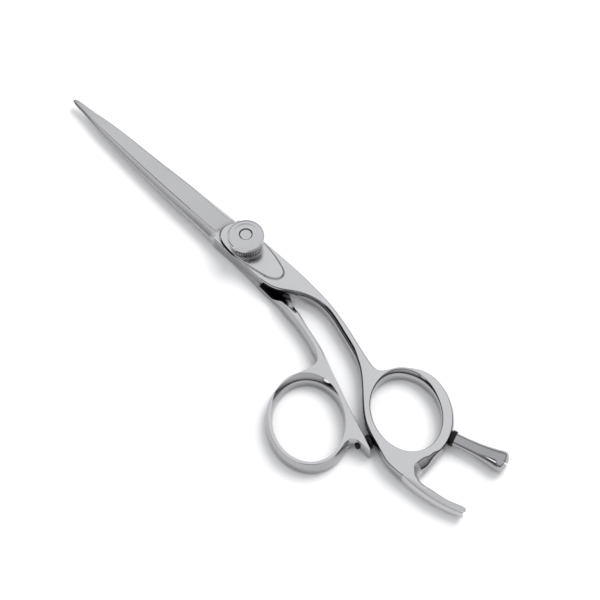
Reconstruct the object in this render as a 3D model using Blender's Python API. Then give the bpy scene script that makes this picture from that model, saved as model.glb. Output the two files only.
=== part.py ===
"""Hair cutting shears, 6 inch class, with a dial for the blade tension and a removable finger rest.

The shears lie flat and closed. The origin is on the surface they lie on, under the pivot. +Y runs to the
blade tips and +Z is up. Lengths below are in millimetres, and MM turns them into metres.

Each half is drawn with its outer face up and its spine on the left (-X), as one skin without seams:
  - a strip, lofted across from the left side to the right side, for the blade, the pivot and the shank
  - a flat plate with an oval hole, for the ring
  - on the finger half, one more strip, for the fixed tang.
The thumb half is then turned over about the Y axis, so that the two ride faces meet.
"""

import math

import bmesh
import bpy
import numpy as np
from mathutils import Matrix, Vector, geometry

MM = 0.001

# Heights above the surface
THICKNESS = 5.2  # a shank and a ring, floor to flat top
RIDE_GAP = 0.06  # left between the two ride faces
RIDE = THICKNESS / 2 + RIDE_GAP / 2  # ride face of the half that lies outer face up
BOSS_TOP = THICKNESS + 0.5
DIAL_BASE = BOSS_TOP + 0.1
DIAL_TOP = 10.9

# Fineness of the skin
SPACING = 1.9  # along an outline
RING_STEPS = 36  # around a ring's hole
UPPER_LEVELS = 3  # down a side wall, from the flat top to its widest line
LOWER_LEVELS = 2  # from there to the underside
ROUND_STEPS = 32  # around a turned piece
BORE_STEPS = 20  # around a small hole

# Blades
BLADE_END = 7  # station where the ground blade ends
PIVOT_START = 8  # station where the full pivot plate starts
TIP_THICKNESS = 0.75
ROOT_THICKNESS = THICKNESS - RIDE
BLADE_LENGTH = 73.4
ROOT_Y = 10.0
EDGE_THICKNESS = 0.14
SPINE_SHARE = 0.62  # height of the spine wall, as a share of the blade's thickness
RIDGE_SHARE = 0.2  # how far across the blade the ridge is
TOP_SHARES = (RIDGE_SHARE, 0.5, 0.8)  # where the points across a strip's top are
LOW_SHARES = (0.15, 0.4, 0.65, 0.85, 0.94)  # and across its underside

# Side walls
TOP_INSET = 0.6  # the flat top is this much narrower than the outline
LOW_INSET = 0.8
PLATE_INSET = 0.22  # the same at the pivot
WIDEST_SHARE = 0.45  # height of the widest line in a side wall

# Boss that the dial stands on, clockwise from its blade end
BOSS_OUTLINE = (
    (-0.5, 8.5),
    (2.6, 7.3),
    (3.95, 3.5),
    (3.9, -2.0),
    (3.15, -7.5),
    (1.95, -12.0),
    (0.75, -14.1),
    (-0.7, -14.55),
    (-2.3, -13.55),
    (-3.85, -9.0),
    (-4.85, -2.5),
    (-4.75, 3.5),
    (-3.2, 7.3),
)
BOSS_STEPS = 4  # from each point of the outline to the next
# height, outset
BOSS_LEVELS = ((THICKNESS - 1.0, 0.2), (THICKNESS, 0.2), (BOSS_TOP - 0.1, -0.1), (BOSS_TOP, -0.25))

# Rings: hole centre, half length, half width, direction of the length, wall around the hole, and how much
# thicker the wall is on the side away from the pivot
FINGER_RING = {"x": -6.05, "y": -66.9, "long": 11.6, "wide": 9.05, "turn": 62.0, "wall": 2.0, "swell": 1.35}
THUMB_RING = {"x": 25.95, "y": -50.3, "long": 11.95, "wide": 9.4, "turn": 127.0, "wall": 1.95, "swell": 0.0}
SWELL_FROM, SWELL_OVER = 48, 50  # angle where the thicker wall starts, and over how many degrees it grows

# Pivot, from the underside up
HEAD_RADIUS, HEAD_TOP = 4.0, 0.95
HEAD_GAP = 0.12
BUSH_OUTER, BUSH_INNER = 3.0, 2.2
BUSH_GAP = 0.05
SHANK_RADIUS, THREAD_RADIUS = 2.12, 1.8
FLAT_AT = 1.75  # distance of the screw's two flats from its axis
WASHER_OUTER, WASHER_INNER, WASHER_THICKNESS = 3.5, 2.35, 0.3
CLICK_RADIUS, CLICK_THICKNESS, CLICK_NOTCHES, NOTCH_DEPTH = 4.1, 0.35, 12, 0.25
DIAL_RADIUS, CAP_RADIUS, DIAL_BORE = 4.7, 5.15, 1.9
DIAL_RIBS = 56
RIB_DEPTH = 0.3
POCKET_RADIUS = 4.3
SPRING_OUTER, SPRING_INNER, SPRING_THICKNESS, SPRING_RISE = 3.9, 2.35, 0.28, 0.35
DIAL_WASHER_INNER, DIAL_WASHER_THICKNESS = 1.95, 0.3
LOCK_RADIUS, LOCK_SHANK = 1.75, 0.95
LOCK_FLOOR, SCREW_TOP = 6.6, 9.8  # bottom of the lock screw's hole, and the pivot screw's top
RECESS_DEPTH = 0.95  # of the lock screw's place in the dial's top
CLEARANCE = 0.06  # around a screw or stem in its hole
STACK_GAP = 0.04  # between two washers

# Finger rest and bumper
REST_FROM = (-2.6, -79.7)  # where its axis meets the seat
REST_TURN = -73.2  # its direction, from +X
REST_HEIGHT = THICKNESS / 2 + 0.35
REST_LENGTH, REST_DOME = 14.2, 0.85
# share of the length, radius
REST_PROFILE = (
    (0.0, 1.75),
    (0.3, 1.8),
    (0.55, 2.05),
    (0.8, 2.6),
    (0.92, 2.88),
    (0.955, 2.88),
    (0.985, 2.65),
    (1.0, 2.2),
)
REST_SLOT_WIDTH, REST_SLOT_DEPTH, REST_SLOT_TURN = 0.8, 1.2, -70
REST_WASHER = (2.2, 1.35)  # radius and thickness
REST_SEAT_RADIUS = 3.6
STUD_RADIUS, STUD_LENGTH = 1.0, 1.7
BUMPER_AT = (-19.1, -65.35)  # just clear of the inner side of the spur
BUMPER_TURN = -24.0
BUMPER_HEAD = (1.95, 1.0)  # radius and thickness
BUMPER_STEM = 0.85
SPUR_WIDTH = 3.0

# Outline of the finger half, from the tip to the ring. Each station is a left and a right point.
FINGER_STATIONS = (
    ((-0.5, 73.4), (0.5, 73.4)),
    ((-0.75, 72.5), (0.8, 72.5)),
    ((-1.1, 69.5), (1.15, 69.5)),
    ((-2.0, 62.5), (1.85, 62.5)),
    ((-2.8, 54.0), (2.5, 54.0)),
    ((-3.75, 40.0), (3.05, 40.0)),
    ((-4.6, 22.0), (3.8, 22.0)),
    ((-5.0, 9.9), (4.2, 8.6)),
    ((-5.1, 8.3), (4.35, 7.5)),
    ((-5.15, 0.0), (4.4, 0.0)),
    ((-5.0, -9.0), (4.4, -7.0)),
    ((-4.0, -15.7), (4.4, -13.5)),
    ((-1.9, -19.4), (4.35, -19.0)),
    ((0.1, -23.2), (4.0, -25.0)),
    ((1.0, -28.0), (3.3, -30.5)),
    ((0.3, -33.2), (2.1, -36.0)),
    ((-1.2, -38.2), (0.7, -41.0)),
    ((-2.75, -43.1), (-0.7, -45.5)),
    ((-4.7, -47.7), (-1.8, -49.3)),
)
FINGER_SHOULDER = (12.1, 13.1)  # stations between which the underside drops from the ride face to the surface

# Outline of the thumb half, drawn turned over: its X here is the opposite of its X in place.
THUMB_STATIONS = (
    ((-0.45, 73.3), (0.45, 73.3)),
    ((-0.75, 72.4), (0.7, 72.4)),
    ((-1.1, 69.5), (1.05, 69.5)),
    ((-1.85, 62.5), (1.9, 62.5)),
    ((-2.5, 54.0), (2.5, 54.0)),
    ((-3.0, 40.0), (3.25, 40.0)),
    ((-3.9, 22.0), (4.2, 22.0)),
    ((-4.35, 9.6), (4.85, 9.9)),
    ((-4.4, 8.7), (4.95, 8.3)),
    ((-4.4, 0.0), (5.15, 0.0)),
    ((-3.7, -8.0), (5.6, -8.0)),
    ((-1.2, -14.5), (6.05, -14.5)),
    ((1.6, -18.8), (6.3, -18.5)),
    ((3.4, -22.6), (6.9, -22.3)),
    ((4.6, -26.2), (7.6, -26.5)),
    ((5.7, -29.7), (8.4, -30.3)),
    ((7.1, -35.0), (9.3, -33.5)),
    ((8.6, -39.3), (10.2, -36.2)),
)
THUMB_SHOULDER = (12.85, 13.85)  # the same on the thumb half's inner side
THUMB_RIM = (11.4, 12.6)  # and on its outer side, where the shoulder curves forward
HOLLOW_DEPTH = 1.0  # of the hollow in the thumb half's ride face, in front of the shoulder
HOLLOW_FROM = (10.0, 11.1)  # stations over which it deepens
NECK_UNDERCUT = 1.3  # how far under the finger half's inner wall turns beside that hollow
NECK_STATIONS = (10.5, 11.5, 12.6, 13.6)  # where the undercut starts, is full, and ends
INNER_BEVEL = 0.4  # how much wider the bevel along the finger half's shank is than elsewhere
INNER_STATIONS = (13.0, 14.5, 17.0, 18.0)
OUTER_BEVEL = 0.5  # the same along the thumb half's
OUTER_STATIONS = (13.1, 13.8, 15.8, 17.0)

# The finger half's tang, from the plate to its end
TANG_STATIONS = (
    ((-20.6, -82.0), (-17.6, -82.6)),
    ((-20.3, -85.5), (-17.45, -86.0)),
    ((-19.7, -89.0), (-16.9, -89.5)),
    ((-18.7, -92.7), (-16.0, -92.8)),
    ((-17.5, -95.8), (-15.1, -95.0)),
    ((-16.7, -96.95), (-15.0, -96.4)),
)
TANG_TOP_INSETS = (1.3, 0.8)
TANG_LOW_INSETS = (1.5, 0.9)
TANG_DROP = 0.9  # how much lower the tang's end is than its root
TANG_LIFT = 0.8  # how much the underside rises towards the end


def smooth(share):
    """0 below 0, 1 above 1, and an S-curve between them."""
    share = min(max(share, 0.0), 1.0)
    return share * share * (3 - 2 * share)


def mix(first, second, share):
    return first + (second - first) * share


class Curve:
    """A cubic with continuous curvature through all its knots. A knot is a row of numbers, x and y first."""

    def __init__(self, knots):
        self.knots = np.array(knots, float)
        self.lengths = np.linalg.norm(np.diff(self.knots[:, :2], axis=0), axis=1)
        count = len(self.knots)
        matrix = np.eye(count)
        slopes = np.zeros_like(self.knots)
        steps = np.diff(self.knots, axis=0) / self.lengths[:, None]
        for i in range(1, count - 1):
            before, after = self.lengths[i - 1 : i + 1]
            matrix[i, i - 1 : i + 2] = before, 2 * (before + after), after
            slopes[i] = 6 * (steps[i] - steps[i - 1])
        self.bends = np.linalg.solve(matrix, slopes)

    def at(self, span, share):
        back = 1 - share
        cubic = (back**3 - back) * self.bends[span] + (share**3 - share) * self.bends[span + 1]
        straight = back * self.knots[span] + share * self.knots[span + 1]
        return straight + cubic * self.lengths[span] ** 2 / 6


def ring_point(ring, angle, outset):
    """The point on the oval around a ring's hole, outset from it, roughly in this direction."""
    turn = math.radians(ring["turn"])
    along = (ring["long"] + outset) * math.cos(math.radians(angle) - turn)
    across = (ring["wide"] + outset) * math.sin(math.radians(angle) - turn)
    x = ring["x"] + along * math.cos(turn) - across * math.sin(turn)
    y = ring["y"] + along * math.sin(turn) + across * math.cos(turn)
    return x, y


def ring_arc(ring, start, end, top=TOP_INSET, low=LOW_INSET, step=15):
    """Knots of a plate's outline along the outside of a ring."""
    count = round(abs(end - start) / step)
    knots = []
    for i in range(count + 1):
        angle = mix(start, end, i / count)
        wall = ring["wall"] + ring["swell"] * smooth((SWELL_FROM - angle) / SWELL_OVER)
        knots.append((*ring_point(ring, angle, wall), top, low))
    return knots


def bump(angle, centre, half_width):
    """1 at the centre angle, falling to 0 at half_width to either side."""
    away = abs((angle - centre + 180) % 360 - 180)
    return 0.5 + 0.5 * math.cos(math.pi * min(away / half_width, 1))


def wall_levels(top_inset, low_inset, low, top):
    """(inset, height) down a side wall: two quarter ovals that meet at the widest line."""
    widest = mix(low, top, WIDEST_SHARE)
    levels = []
    for i in range(UPPER_LEVELS + 1):
        turn = math.pi / 2 * (1 - i / UPPER_LEVELS)
        levels.append((top_inset * (1 - math.cos(turn)), widest + (top - widest) * math.sin(turn)))
    for i in range(1, LOWER_LEVELS + 1):
        turn = math.pi / 2 * i / LOWER_LEVELS
        levels.append((low_inset * (1 - math.cos(turn)), widest - (widest - low) * math.sin(turn)))
    return levels


class Skin:
    """Collects the one closed surface of a half."""

    def __init__(self):
        self.mesh = bmesh.new()

    def column(self, point, normal, top_inset, low_inset, low, top):
        """Vertices down the wall at one point of an outline, whose normal points out of the metal."""
        vertices = []
        for inset, height in wall_levels(top_inset, low_inset, low, top):
            x, y = np.array(point) - np.array(normal) * inset
            vertices.append(self.mesh.verts.new((x * MM, y * MM, height * MM)))
        return vertices

    def face(self, vertices):
        self.mesh.faces.new(vertices)

    def wall(self, columns):
        for first, second in zip(columns, columns[1:]):
            for i in range(len(first) - 1):
                self.face((first[i], second[i], second[i + 1], first[i + 1]))

    def strip(self, lefts, tops, lows, rights):
        """Top and underside between the left and the right columns, through the tops and lows."""
        upper = [[left[0], *row, right[0]] for left, row, right in zip(lefts, tops, rights)]
        under = [[right[-1], *reversed(row), left[-1]] for left, row, right in zip(lefts, lows, rights)]
        for rows in (upper, under):
            for first, second in zip(rows, rows[1:]):
                for i in range(len(first) - 1):
                    self.face((first[i], second[i], second[i + 1], first[i + 1]))

    def plate(self, border, hole, upper):
        """A flat face inside the border, with a hole."""
        rings = [[vertex.co.to_2d().to_3d() / MM for vertex in loop] for loop in (border, hole)]
        vertices = border + hole
        for triangle in geometry.tessellate_polygon(rings):
            corners = [vertices[i] for i in triangle]
            a, b, c = (corner.co.to_2d() for corner in corners)
            if (((b - a).cross(c - a)) > 0) != upper:
                corners.reverse()
            self.face(corners)


def normals_of(points):
    """Outward normals of an outline that runs clockwise, seen from above."""
    points = np.array(points)
    ahead = np.vstack([points[1:], points[-1:]])
    behind = np.vstack([points[:1], points[:-1]])
    along = ahead - behind
    along /= np.linalg.norm(along, axis=1)[:, None]
    return np.column_stack([-along[:, 1], along[:, 0]])


def closed_curve(knots, steps):
    """(point, outward normal) around a closed clockwise outline, with this many steps between its knots."""
    curve = Curve([*knots[-3:], *knots, *knots[:3]])
    points = [curve.at(i + 3, j / steps) for i in range(len(knots)) for j in range(steps)]
    normals = normals_of([points[-1], *points, points[0]])[1:-1]
    return list(zip(points, normals))


def finger_level(station, _):
    """0 where the finger half's underside is the ride face, 1 where it is at the surface."""
    return smooth((station - FINGER_SHOULDER[0]) / (FINGER_SHOULDER[1] - FINGER_SHOULDER[0]))


def thumb_level(station, share):
    """The same on the thumb half, where it depends on how far across it is, from 0 inside to 1 outside."""
    start = mix(THUMB_SHOULDER[0], THUMB_RIM[0], share**3)
    end = mix(THUMB_SHOULDER[1], THUMB_RIM[1], share**3)
    return smooth((station - start) / (end - start))


def between_stations(station, stations):
    """0 up to the first of four stations, 1 from the second to the third, and 0 from the fourth on."""
    rise = smooth((station - stations[0]) / (stations[1] - stations[0]))
    return rise * (1 - smooth((station - stations[2]) / (stations[3] - stations[2])))


def finger_insets(station, share):
    """What the finger half's wall adds to its top and low insets."""
    bevel = INNER_BEVEL * (1 - share) * between_stations(station, INNER_STATIONS)
    return bevel, NECK_UNDERCUT * (1 - share) * between_stations(station, NECK_STATIONS)


def thumb_insets(station, share):
    """The same for the thumb half."""
    return OUTER_BEVEL * share * between_stations(station, OUTER_STATIONS), 0.0


def no_hollow(*_):
    return 0.0


def thumb_hollow(station, share):
    """Depth of the hollow, which falls from the thumb half's outer edge towards its inner one."""
    along = smooth((station - HOLLOW_FROM[0]) / (HOLLOW_FROM[1] - HOLLOW_FROM[0]))
    return HOLLOW_DEPTH * along * min((1 - share) / 0.5, 1.0)


def blade_heights(y, plate_share):
    """Heights of the spine wall's top, of the points across the top, and of the cutting edge."""
    thickness = mix(TIP_THICKNESS, ROOT_THICKNESS, (BLADE_LENGTH - y) / (BLADE_LENGTH - ROOT_Y))
    spine = RIDE + thickness * SPINE_SHARE
    edge = RIDE + EDGE_THICKNESS
    across = [
        mix(RIDE + thickness, edge, (share - RIDGE_SHARE) / (1 - RIDGE_SHARE)) for share in TOP_SHARES
    ]
    return [mix(height, THICKNESS, plate_share) for height in (spine, *across, edge)]


def make_half(stations, level, insets, hollow, ring, path, hole_insets, tang=(), left_path=()):
    """The skin of one half. path goes on from the last right point around the ring."""
    last = len(stations) - 1
    knots = [right for _, right in stations]
    knots += [row[:2] for row in path]
    knots += [right for _, right in tang]
    knots += [left for left, _ in reversed(tang)]
    knots += [row[:2] for row in left_path]
    knots += [left for left, _ in reversed(stations)]
    curve = Curve(knots)
    spans = len(knots) - 1

    steps = [max(1, math.ceil(length / SPACING)) for length in curve.lengths]
    for i in range(last):
        steps[i] = steps[spans - 1 - i] = max(steps[i], steps[spans - 1 - i])
    tang_first = last + len(path) + 1
    tang_last = tang_first + 2 * len(tang) - 1
    for i in range(max(len(tang) - 1, 0)):
        near, far = tang_first + i, tang_last - 1 - i
        steps[near] = steps[far] = max(steps[near], steps[far])
    if tang:
        steps[tang_first + len(tang) - 1] = 1

    points, places = [], []
    for span in range(spans):
        for step in range(steps[span]):
            points.append(curve.at(span, step / steps[span]))
            places.append(span + step / steps[span])
    points.append(curve.at(spans - 1, 1.0))
    places.append(float(spans))
    normals = normals_of(points)

    inset_rows = [(TOP_INSET, LOW_INSET)] + [row[2:] for row in path]
    inset_rows += [(TOP_INSET, LOW_INSET)] if not tang else [(TANG_TOP_INSETS[1], TANG_LOW_INSETS[1])]
    left_rows = [(TANG_TOP_INSETS[0], TANG_LOW_INSETS[0])] + [row[2:] for row in left_path]
    left_rows += [(TOP_INSET, LOW_INSET)]

    def between(rows, place):
        i = min(int(place), len(rows) - 2)
        share = smooth(place - i)
        return [mix(a, b, share) for a, b in zip(rows[i], rows[i + 1])]

    def wall_at(i):
        """Top inset, low inset, low height and top height of the wall at outline point i."""
        place = places[i]
        station = min(place, spans - place)
        on_left = place > spans / 2
        if station <= last:
            share = 0.0 if on_left else 1.0
            full = level(station, share)
            more_top, more_low = insets(station, share)
            plate_share = smooth((station - BLADE_END) / (PIVOT_START - BLADE_END))
            heights = blade_heights(points[i][1], plate_share)
            blade_inset = 0.12 if on_left else 0.0
            plate_inset = mix(blade_inset, PLATE_INSET, plate_share)
            top = mix(plate_inset, TOP_INSET, smooth(full + (station - 10) / 3))
            low_inset = LOW_INSET * full + more_low
            low = (RIDE + hollow(station, share)) * (1 - full)
            return top + more_top, low_inset, low, heights[0 if on_left else -1]
        if tang and tang_first <= place <= tang_last:
            along = min(place - tang_first, tang_last - place) / (len(tang) - 1)
            end = smooth(along)
            side = 0 if on_left and place > (tang_first + tang_last) / 2 else 1
            return (
                TANG_TOP_INSETS[side] * mix(1, 0.55, end),
                TANG_LOW_INSETS[side] * mix(1, 0.6, end),
                TANG_LIFT * end,
                THICKNESS - TANG_DROP * end,
            )
        if not tang or place < tang_first:
            return *between(inset_rows, place - last), 0.0, THICKNESS
        return *between(left_rows, place - tang_last), 0.0, THICKNESS

    skin = Skin()
    columns = [skin.column(points[i], normals[i], *wall_at(i)) for i in range(len(points))]
    index = {round(place, 6): i for i, place in enumerate(places)}

    def rows_between(rights, lefts, end, shares, height_at):
        rows = []
        for right, left in zip(rights, lefts):
            a, b = columns[left][end].co, columns[right][end].co
            row = []
            for share, height in zip(shares, height_at(right)):
                point = a.lerp(b, share)
                point.z = height * MM
                row.append(skin.mesh.verts.new(point))
            rows.append(row)
        return rows

    def blade_tops(i):
        plate_share = smooth((places[i] - BLADE_END) / (PIVOT_START - BLADE_END))
        return blade_heights(points[i][1], plate_share)[1:-1]

    def ride_lows(i):
        lows = []
        for share in LOW_SHARES:
            ride = RIDE + hollow(places[i], share)
            lows.append(ride * (1 - level(places[i], share)))
        return lows

    gate = index[round(float(last), 6)]
    rights = list(range(gate + 1))
    lefts = [len(points) - 1 - i for i in rights]
    tops = rows_between(rights, lefts, 0, TOP_SHARES, blade_tops)
    lows = rows_between(rights, lefts, -1, LOW_SHARES, ride_lows)
    skin.strip([columns[i] for i in lefts], tops, lows, [columns[i] for i in rights])
    skin.face([*columns[0], *reversed(lows[0]), *reversed(columns[-1]), *tops[0]])

    top_border = [columns[lefts[-1]][0], *tops[-1], columns[gate][0]]
    low_border = [columns[lefts[-1]][-1], *lows[-1], columns[gate][-1]]
    if tang:
        first = index[round(float(tang_first), 6)]
        count = index[round(float(tang_first + len(tang) - 1), 6)] - first
        last_left = index[round(float(tang_last), 6)]
        tang_rights = list(range(first, first + count + 1))
        tang_lefts = [last_left - i for i in range(count + 1)]
        tang_tops = rows_between(
            tang_rights, tang_lefts, 0, TOP_SHARES, lambda i: [wall_at(i)[3]] * len(TOP_SHARES)
        )
        tang_lows = rows_between(
            tang_rights, tang_lefts, -1, LOW_SHARES, lambda i: [wall_at(i)[2]] * len(LOW_SHARES)
        )
        ends = [columns[i] for i in tang_lefts], [columns[i] for i in tang_rights]
        skin.strip(ends[0], tang_tops, tang_lows, ends[1])
        skin.face([*ends[0][-1], *tang_lows[-1], *reversed(ends[1][-1]), *reversed(tang_tops[-1])])
        top_border += [columns[i][0] for i in range(gate + 1, first + 1)]
        top_border += [*reversed(tang_tops[0])]
        top_border += [columns[i][0] for i in range(last_left, lefts[-1])]
        low_border += [columns[i][-1] for i in range(gate + 1, first + 1)]
        low_border += [*reversed(tang_lows[0])]
        low_border += [columns[i][-1] for i in range(last_left, lefts[-1])]
        walls = (range(first + count + 1), range(last_left - count, len(points)))
    else:
        top_border += [columns[i][0] for i in range(gate + 1, lefts[-1])]
        low_border += [columns[i][-1] for i in range(gate + 1, lefts[-1])]
        walls = (range(len(points)),)
    for span in walls:
        skin.wall([columns[i] for i in span])

    holes = []
    for i in range(RING_STEPS):
        angle = -360 * i / RING_STEPS
        point = ring_point(ring, angle, 0.0)
        ahead, behind = ring_point(ring, angle - 1, 0.0), ring_point(ring, angle + 1, 0.0)
        along = Vector(ahead) - Vector(behind)
        inward = Vector((along.y, -along.x)).normalized()
        holes.append(skin.column(point, inward, *hole_insets(angle), 0.0, THICKNESS))
    holes.append(holes[0])
    for first_column, second_column in zip(holes, holes[1:]):
        for i in range(len(first_column) - 1):
            skin.face((second_column[i], first_column[i], first_column[i + 1], second_column[i + 1]))
    skin.plate(top_border, [column[0] for column in holes[:-1]], True)
    skin.plate(low_border, [column[-1] for column in holes[:-1]], False)
    return skin.mesh


def add_object(name, mesh, material, smooth_angle=38.0):
    """A node from a bmesh in metres."""
    bmesh.ops.recalc_face_normals(mesh, faces=mesh.faces)
    data = bpy.data.meshes.new(name)
    mesh.to_mesh(data)
    mesh.free()
    data.materials.append(material)
    data.shade_smooth()
    data.set_sharp_from_angle(angle=math.radians(smooth_angle))
    node = bpy.data.objects.new(name, data)
    bpy.context.scene.collection.objects.link(node)
    return node


def turned(profile, steps=ROUND_STEPS, radius_at=None):
    """A turned solid from (radius, height) pairs. A profile that stays off the axis closes on itself."""
    mesh = bmesh.new()
    rings = []
    for radius, height in profile:
        if radius == 0:
            rings.append([mesh.verts.new((0, 0, height * MM))] * steps)
            continue
        ring = []
        for i in range(steps):
            turn = 2 * math.pi * i / steps
            r = radius_at(radius, turn) if radius_at else radius
            ring.append(mesh.verts.new((r * MM * math.cos(turn), r * MM * math.sin(turn), height * MM)))
        rings.append(ring)
    if profile[0][0] > 0 and profile[-1][0] > 0:
        rings.append(rings[0])
    for lower, upper in zip(rings, rings[1:]):
        for i in range(steps):
            j = (i + 1) % steps
            corners = list(dict.fromkeys((lower[i], lower[j], upper[j], upper[i])))
            mesh.faces.new(corners)
    return mesh


def flat_ring(inner, outer, low, high, steps=ROUND_STEPS, radius_at=None):
    """A washer or a sleeve."""
    return turned([(inner, low), (outer, low), (outer, high), (inner, high)], steps, radius_at)


def cutter(name, mesh, place=None):
    """A hidden shape for a Boolean."""
    bmesh.ops.recalc_face_normals(mesh, faces=mesh.faces)
    data = bpy.data.meshes.new(name)
    mesh.to_mesh(data)
    mesh.free()
    node = bpy.data.objects.new(name, data)
    bpy.context.scene.collection.objects.link(node)
    node.hide_render = True
    node.display_type = "WIRE"
    if place:
        node.matrix_world = place
    return node


def boolean(node, other, operation="DIFFERENCE"):
    modifier = node.modifiers.new(other.name, "BOOLEAN")
    modifier.operation = operation
    modifier.object = other


def cylinder(radius, low, high, steps=ROUND_STEPS, flats=None):
    """A plain bore or pin. flats keeps it within this distance of the YZ plane."""
    mesh = turned([(0, low), (radius, low), (radius, high), (0, high)], steps)
    if flats:
        for vertex in mesh.verts:
            vertex.co.x = min(max(vertex.co.x, -flats * MM), flats * MM)
    return mesh


def lying(x, y, turn):
    """Places a turned piece so that its axis lies level and points this way, in degrees from +X."""
    place = Matrix.Translation((x * MM, y * MM, REST_HEIGHT * MM))
    return place @ Matrix.Rotation(math.radians(turn), 4, "Z") @ Matrix.Rotation(math.pi / 2, 4, "Y")


def boss_mesh():
    """The raised oval on the finger half that the dial stands on."""
    outline = closed_curve(BOSS_OUTLINE, BOSS_STEPS)
    mesh = bmesh.new()
    rows = []
    for height, outset in BOSS_LEVELS:
        row = []
        for point, normal in outline:
            x, y = (point + normal * outset) * MM
            row.append(mesh.verts.new((x, y, height * MM)))
        rows.append(row)
    for lower, upper in zip(rows, rows[1:]):
        for i in range(len(outline)):
            j = (i + 1) % len(outline)
            mesh.faces.new((lower[i], lower[j], upper[j], upper[i]))
    mesh.faces.new(rows[0])
    mesh.faces.new(rows[-1])
    return mesh


def steel(name, colour, roughness, metallic=1.0):
    material = bpy.data.materials.new(name)
    material.use_nodes = True
    shader = material.node_tree.nodes["Principled BSDF"]
    shader.inputs["Base Color"].default_value = (*colour, 1)
    shader.inputs["Roughness"].default_value = roughness
    shader.inputs["Metallic"].default_value = metallic
    return material


def make_finger_half(material):
    path = [
        (-2.25, -51.2, 0.6, 0.5),
        (-2.2, -52.8, 0.6, 0.5),
        (-1.1, -54.2, 0.6, 0.5),
        *ring_arc(FINGER_RING, 52, -92),
        (-10.2, -81.5, 1.5, 0.6),
        (-13.0, -81.6, 2.4, 0.9),
        (-15.5, -81.35, 2.4, 1.1),
        (-16.9, -81.8, 1.4, 1.1),
    ]
    left_path = [
        (-20.6, -77.5, 0.5, 1.4),
        (-20.3, -73.0, 0.35, 1.2),
        (-19.3, -69.8, 0.4, 0.6),
        (-18.3, -66.7, 0.5, 0.5),
        (-16.9, -62.8, 0.6, 0.5),
        (-14.5, -59.1, 0.6, 0.5),
        (-11.9, -56.2, 0.6, 0.5),
        (-7.9, -52.0, 0.6, 0.5),
    ]

    def hole_insets(angle):
        return 0.4 + 0.9 * bump(angle, 35, 70), 0.45

    mesh = make_half(
        FINGER_STATIONS,
        finger_level,
        finger_insets,
        no_hollow,
        FINGER_RING,
        path,
        hole_insets,
        TANG_STATIONS,
        left_path,
    )
    half = add_object("finger_blade", mesh, material)
    boolean(half, cutter("boss", boss_mesh()), "UNION")
    below, above = RIDE - 1, BOSS_TOP + 1
    screw_hole = cylinder(SHANK_RADIUS + CLEARANCE, below, above, flats=FLAT_AT + CLEARANCE)
    boolean(half, cutter("screw_hole", screw_hole))
    seat_top = RIDE + WASHER_THICKNESS + 0.02
    boolean(half, cutter("washer_seat", cylinder(WASHER_OUTER + 0.15, below, seat_top)))
    along_rest = lying(*REST_FROM, REST_TURN)
    boolean(half, cutter("rest_seat", cylinder(REST_SEAT_RADIUS, 0.0, 3.0), along_rest))
    thread_hole = cylinder(STUD_RADIUS + CLEARANCE, -STUD_LENGTH - 0.15, 1.0, BORE_STEPS)
    boolean(half, cutter("rest_thread", thread_hole, along_rest))
    return half


def make_thumb_half(material):
    path = [
        (10.95, -38.0, 0.5, 0.6),
        (12.1, -39.2, 0.5, 0.6),
        (13.8, -39.45, 0.5, 0.6),
        (16.3, -38.75, 0.5, 0.6),
        *ring_arc(THUMB_RING, 84, -100),
        (22.6, -62.75, 0.6, 0.8),
        (21.75, -63.4, 0.8, 0.5),
        (21.55, -64.7, 0.9, 0.4),
        (21.5, -66.4, 0.8, 0.4),
        (21.25, -67.9, 0.4, 0.4),
        (20.75, -68.25, 0.4, 0.4),
        (20.2, -67.5, 0.4, 0.4),
        (19.25, -65.4, 0.5, 0.5),
        (17.6, -61.4, 0.5, 0.6),
        (15.6, -55.8, 0.5, 0.6),
        (12.6, -48.8, 0.5, 0.6),
        (10.3, -43.1, 0.5, 0.6),
    ]

    def hole_insets(angle):
        return 0.45, 0.4 + 1.5 * bump(angle, 128, 72) ** 0.6

    mesh = make_half(THUMB_STATIONS, thumb_level, thumb_insets, thumb_hollow, THUMB_RING, path, hole_insets)
    mesh.transform(Matrix.Translation((0, 0, THICKNESS * MM)) @ Matrix.Rotation(math.pi, 4, "Y"))
    half = add_object("thumb_blade", mesh, material)
    boolean(half, cutter("bush_hole", cylinder(BUSH_OUTER + BUSH_GAP, -1, RIDE + 1)))
    boolean(half, cutter("head_seat", cylinder(HEAD_RADIUS + HEAD_GAP, -1, HEAD_TOP + 0.05)))
    across_spur = lying(*BUMPER_AT, BUMPER_TURN)
    stem_hole = cylinder(BUMPER_STEM + CLEARANCE, -2 * SPUR_WIDTH, SPUR_WIDTH, BORE_STEPS)
    boolean(half, cutter("bumper_hole", stem_hole, across_spur))
    return half


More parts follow.
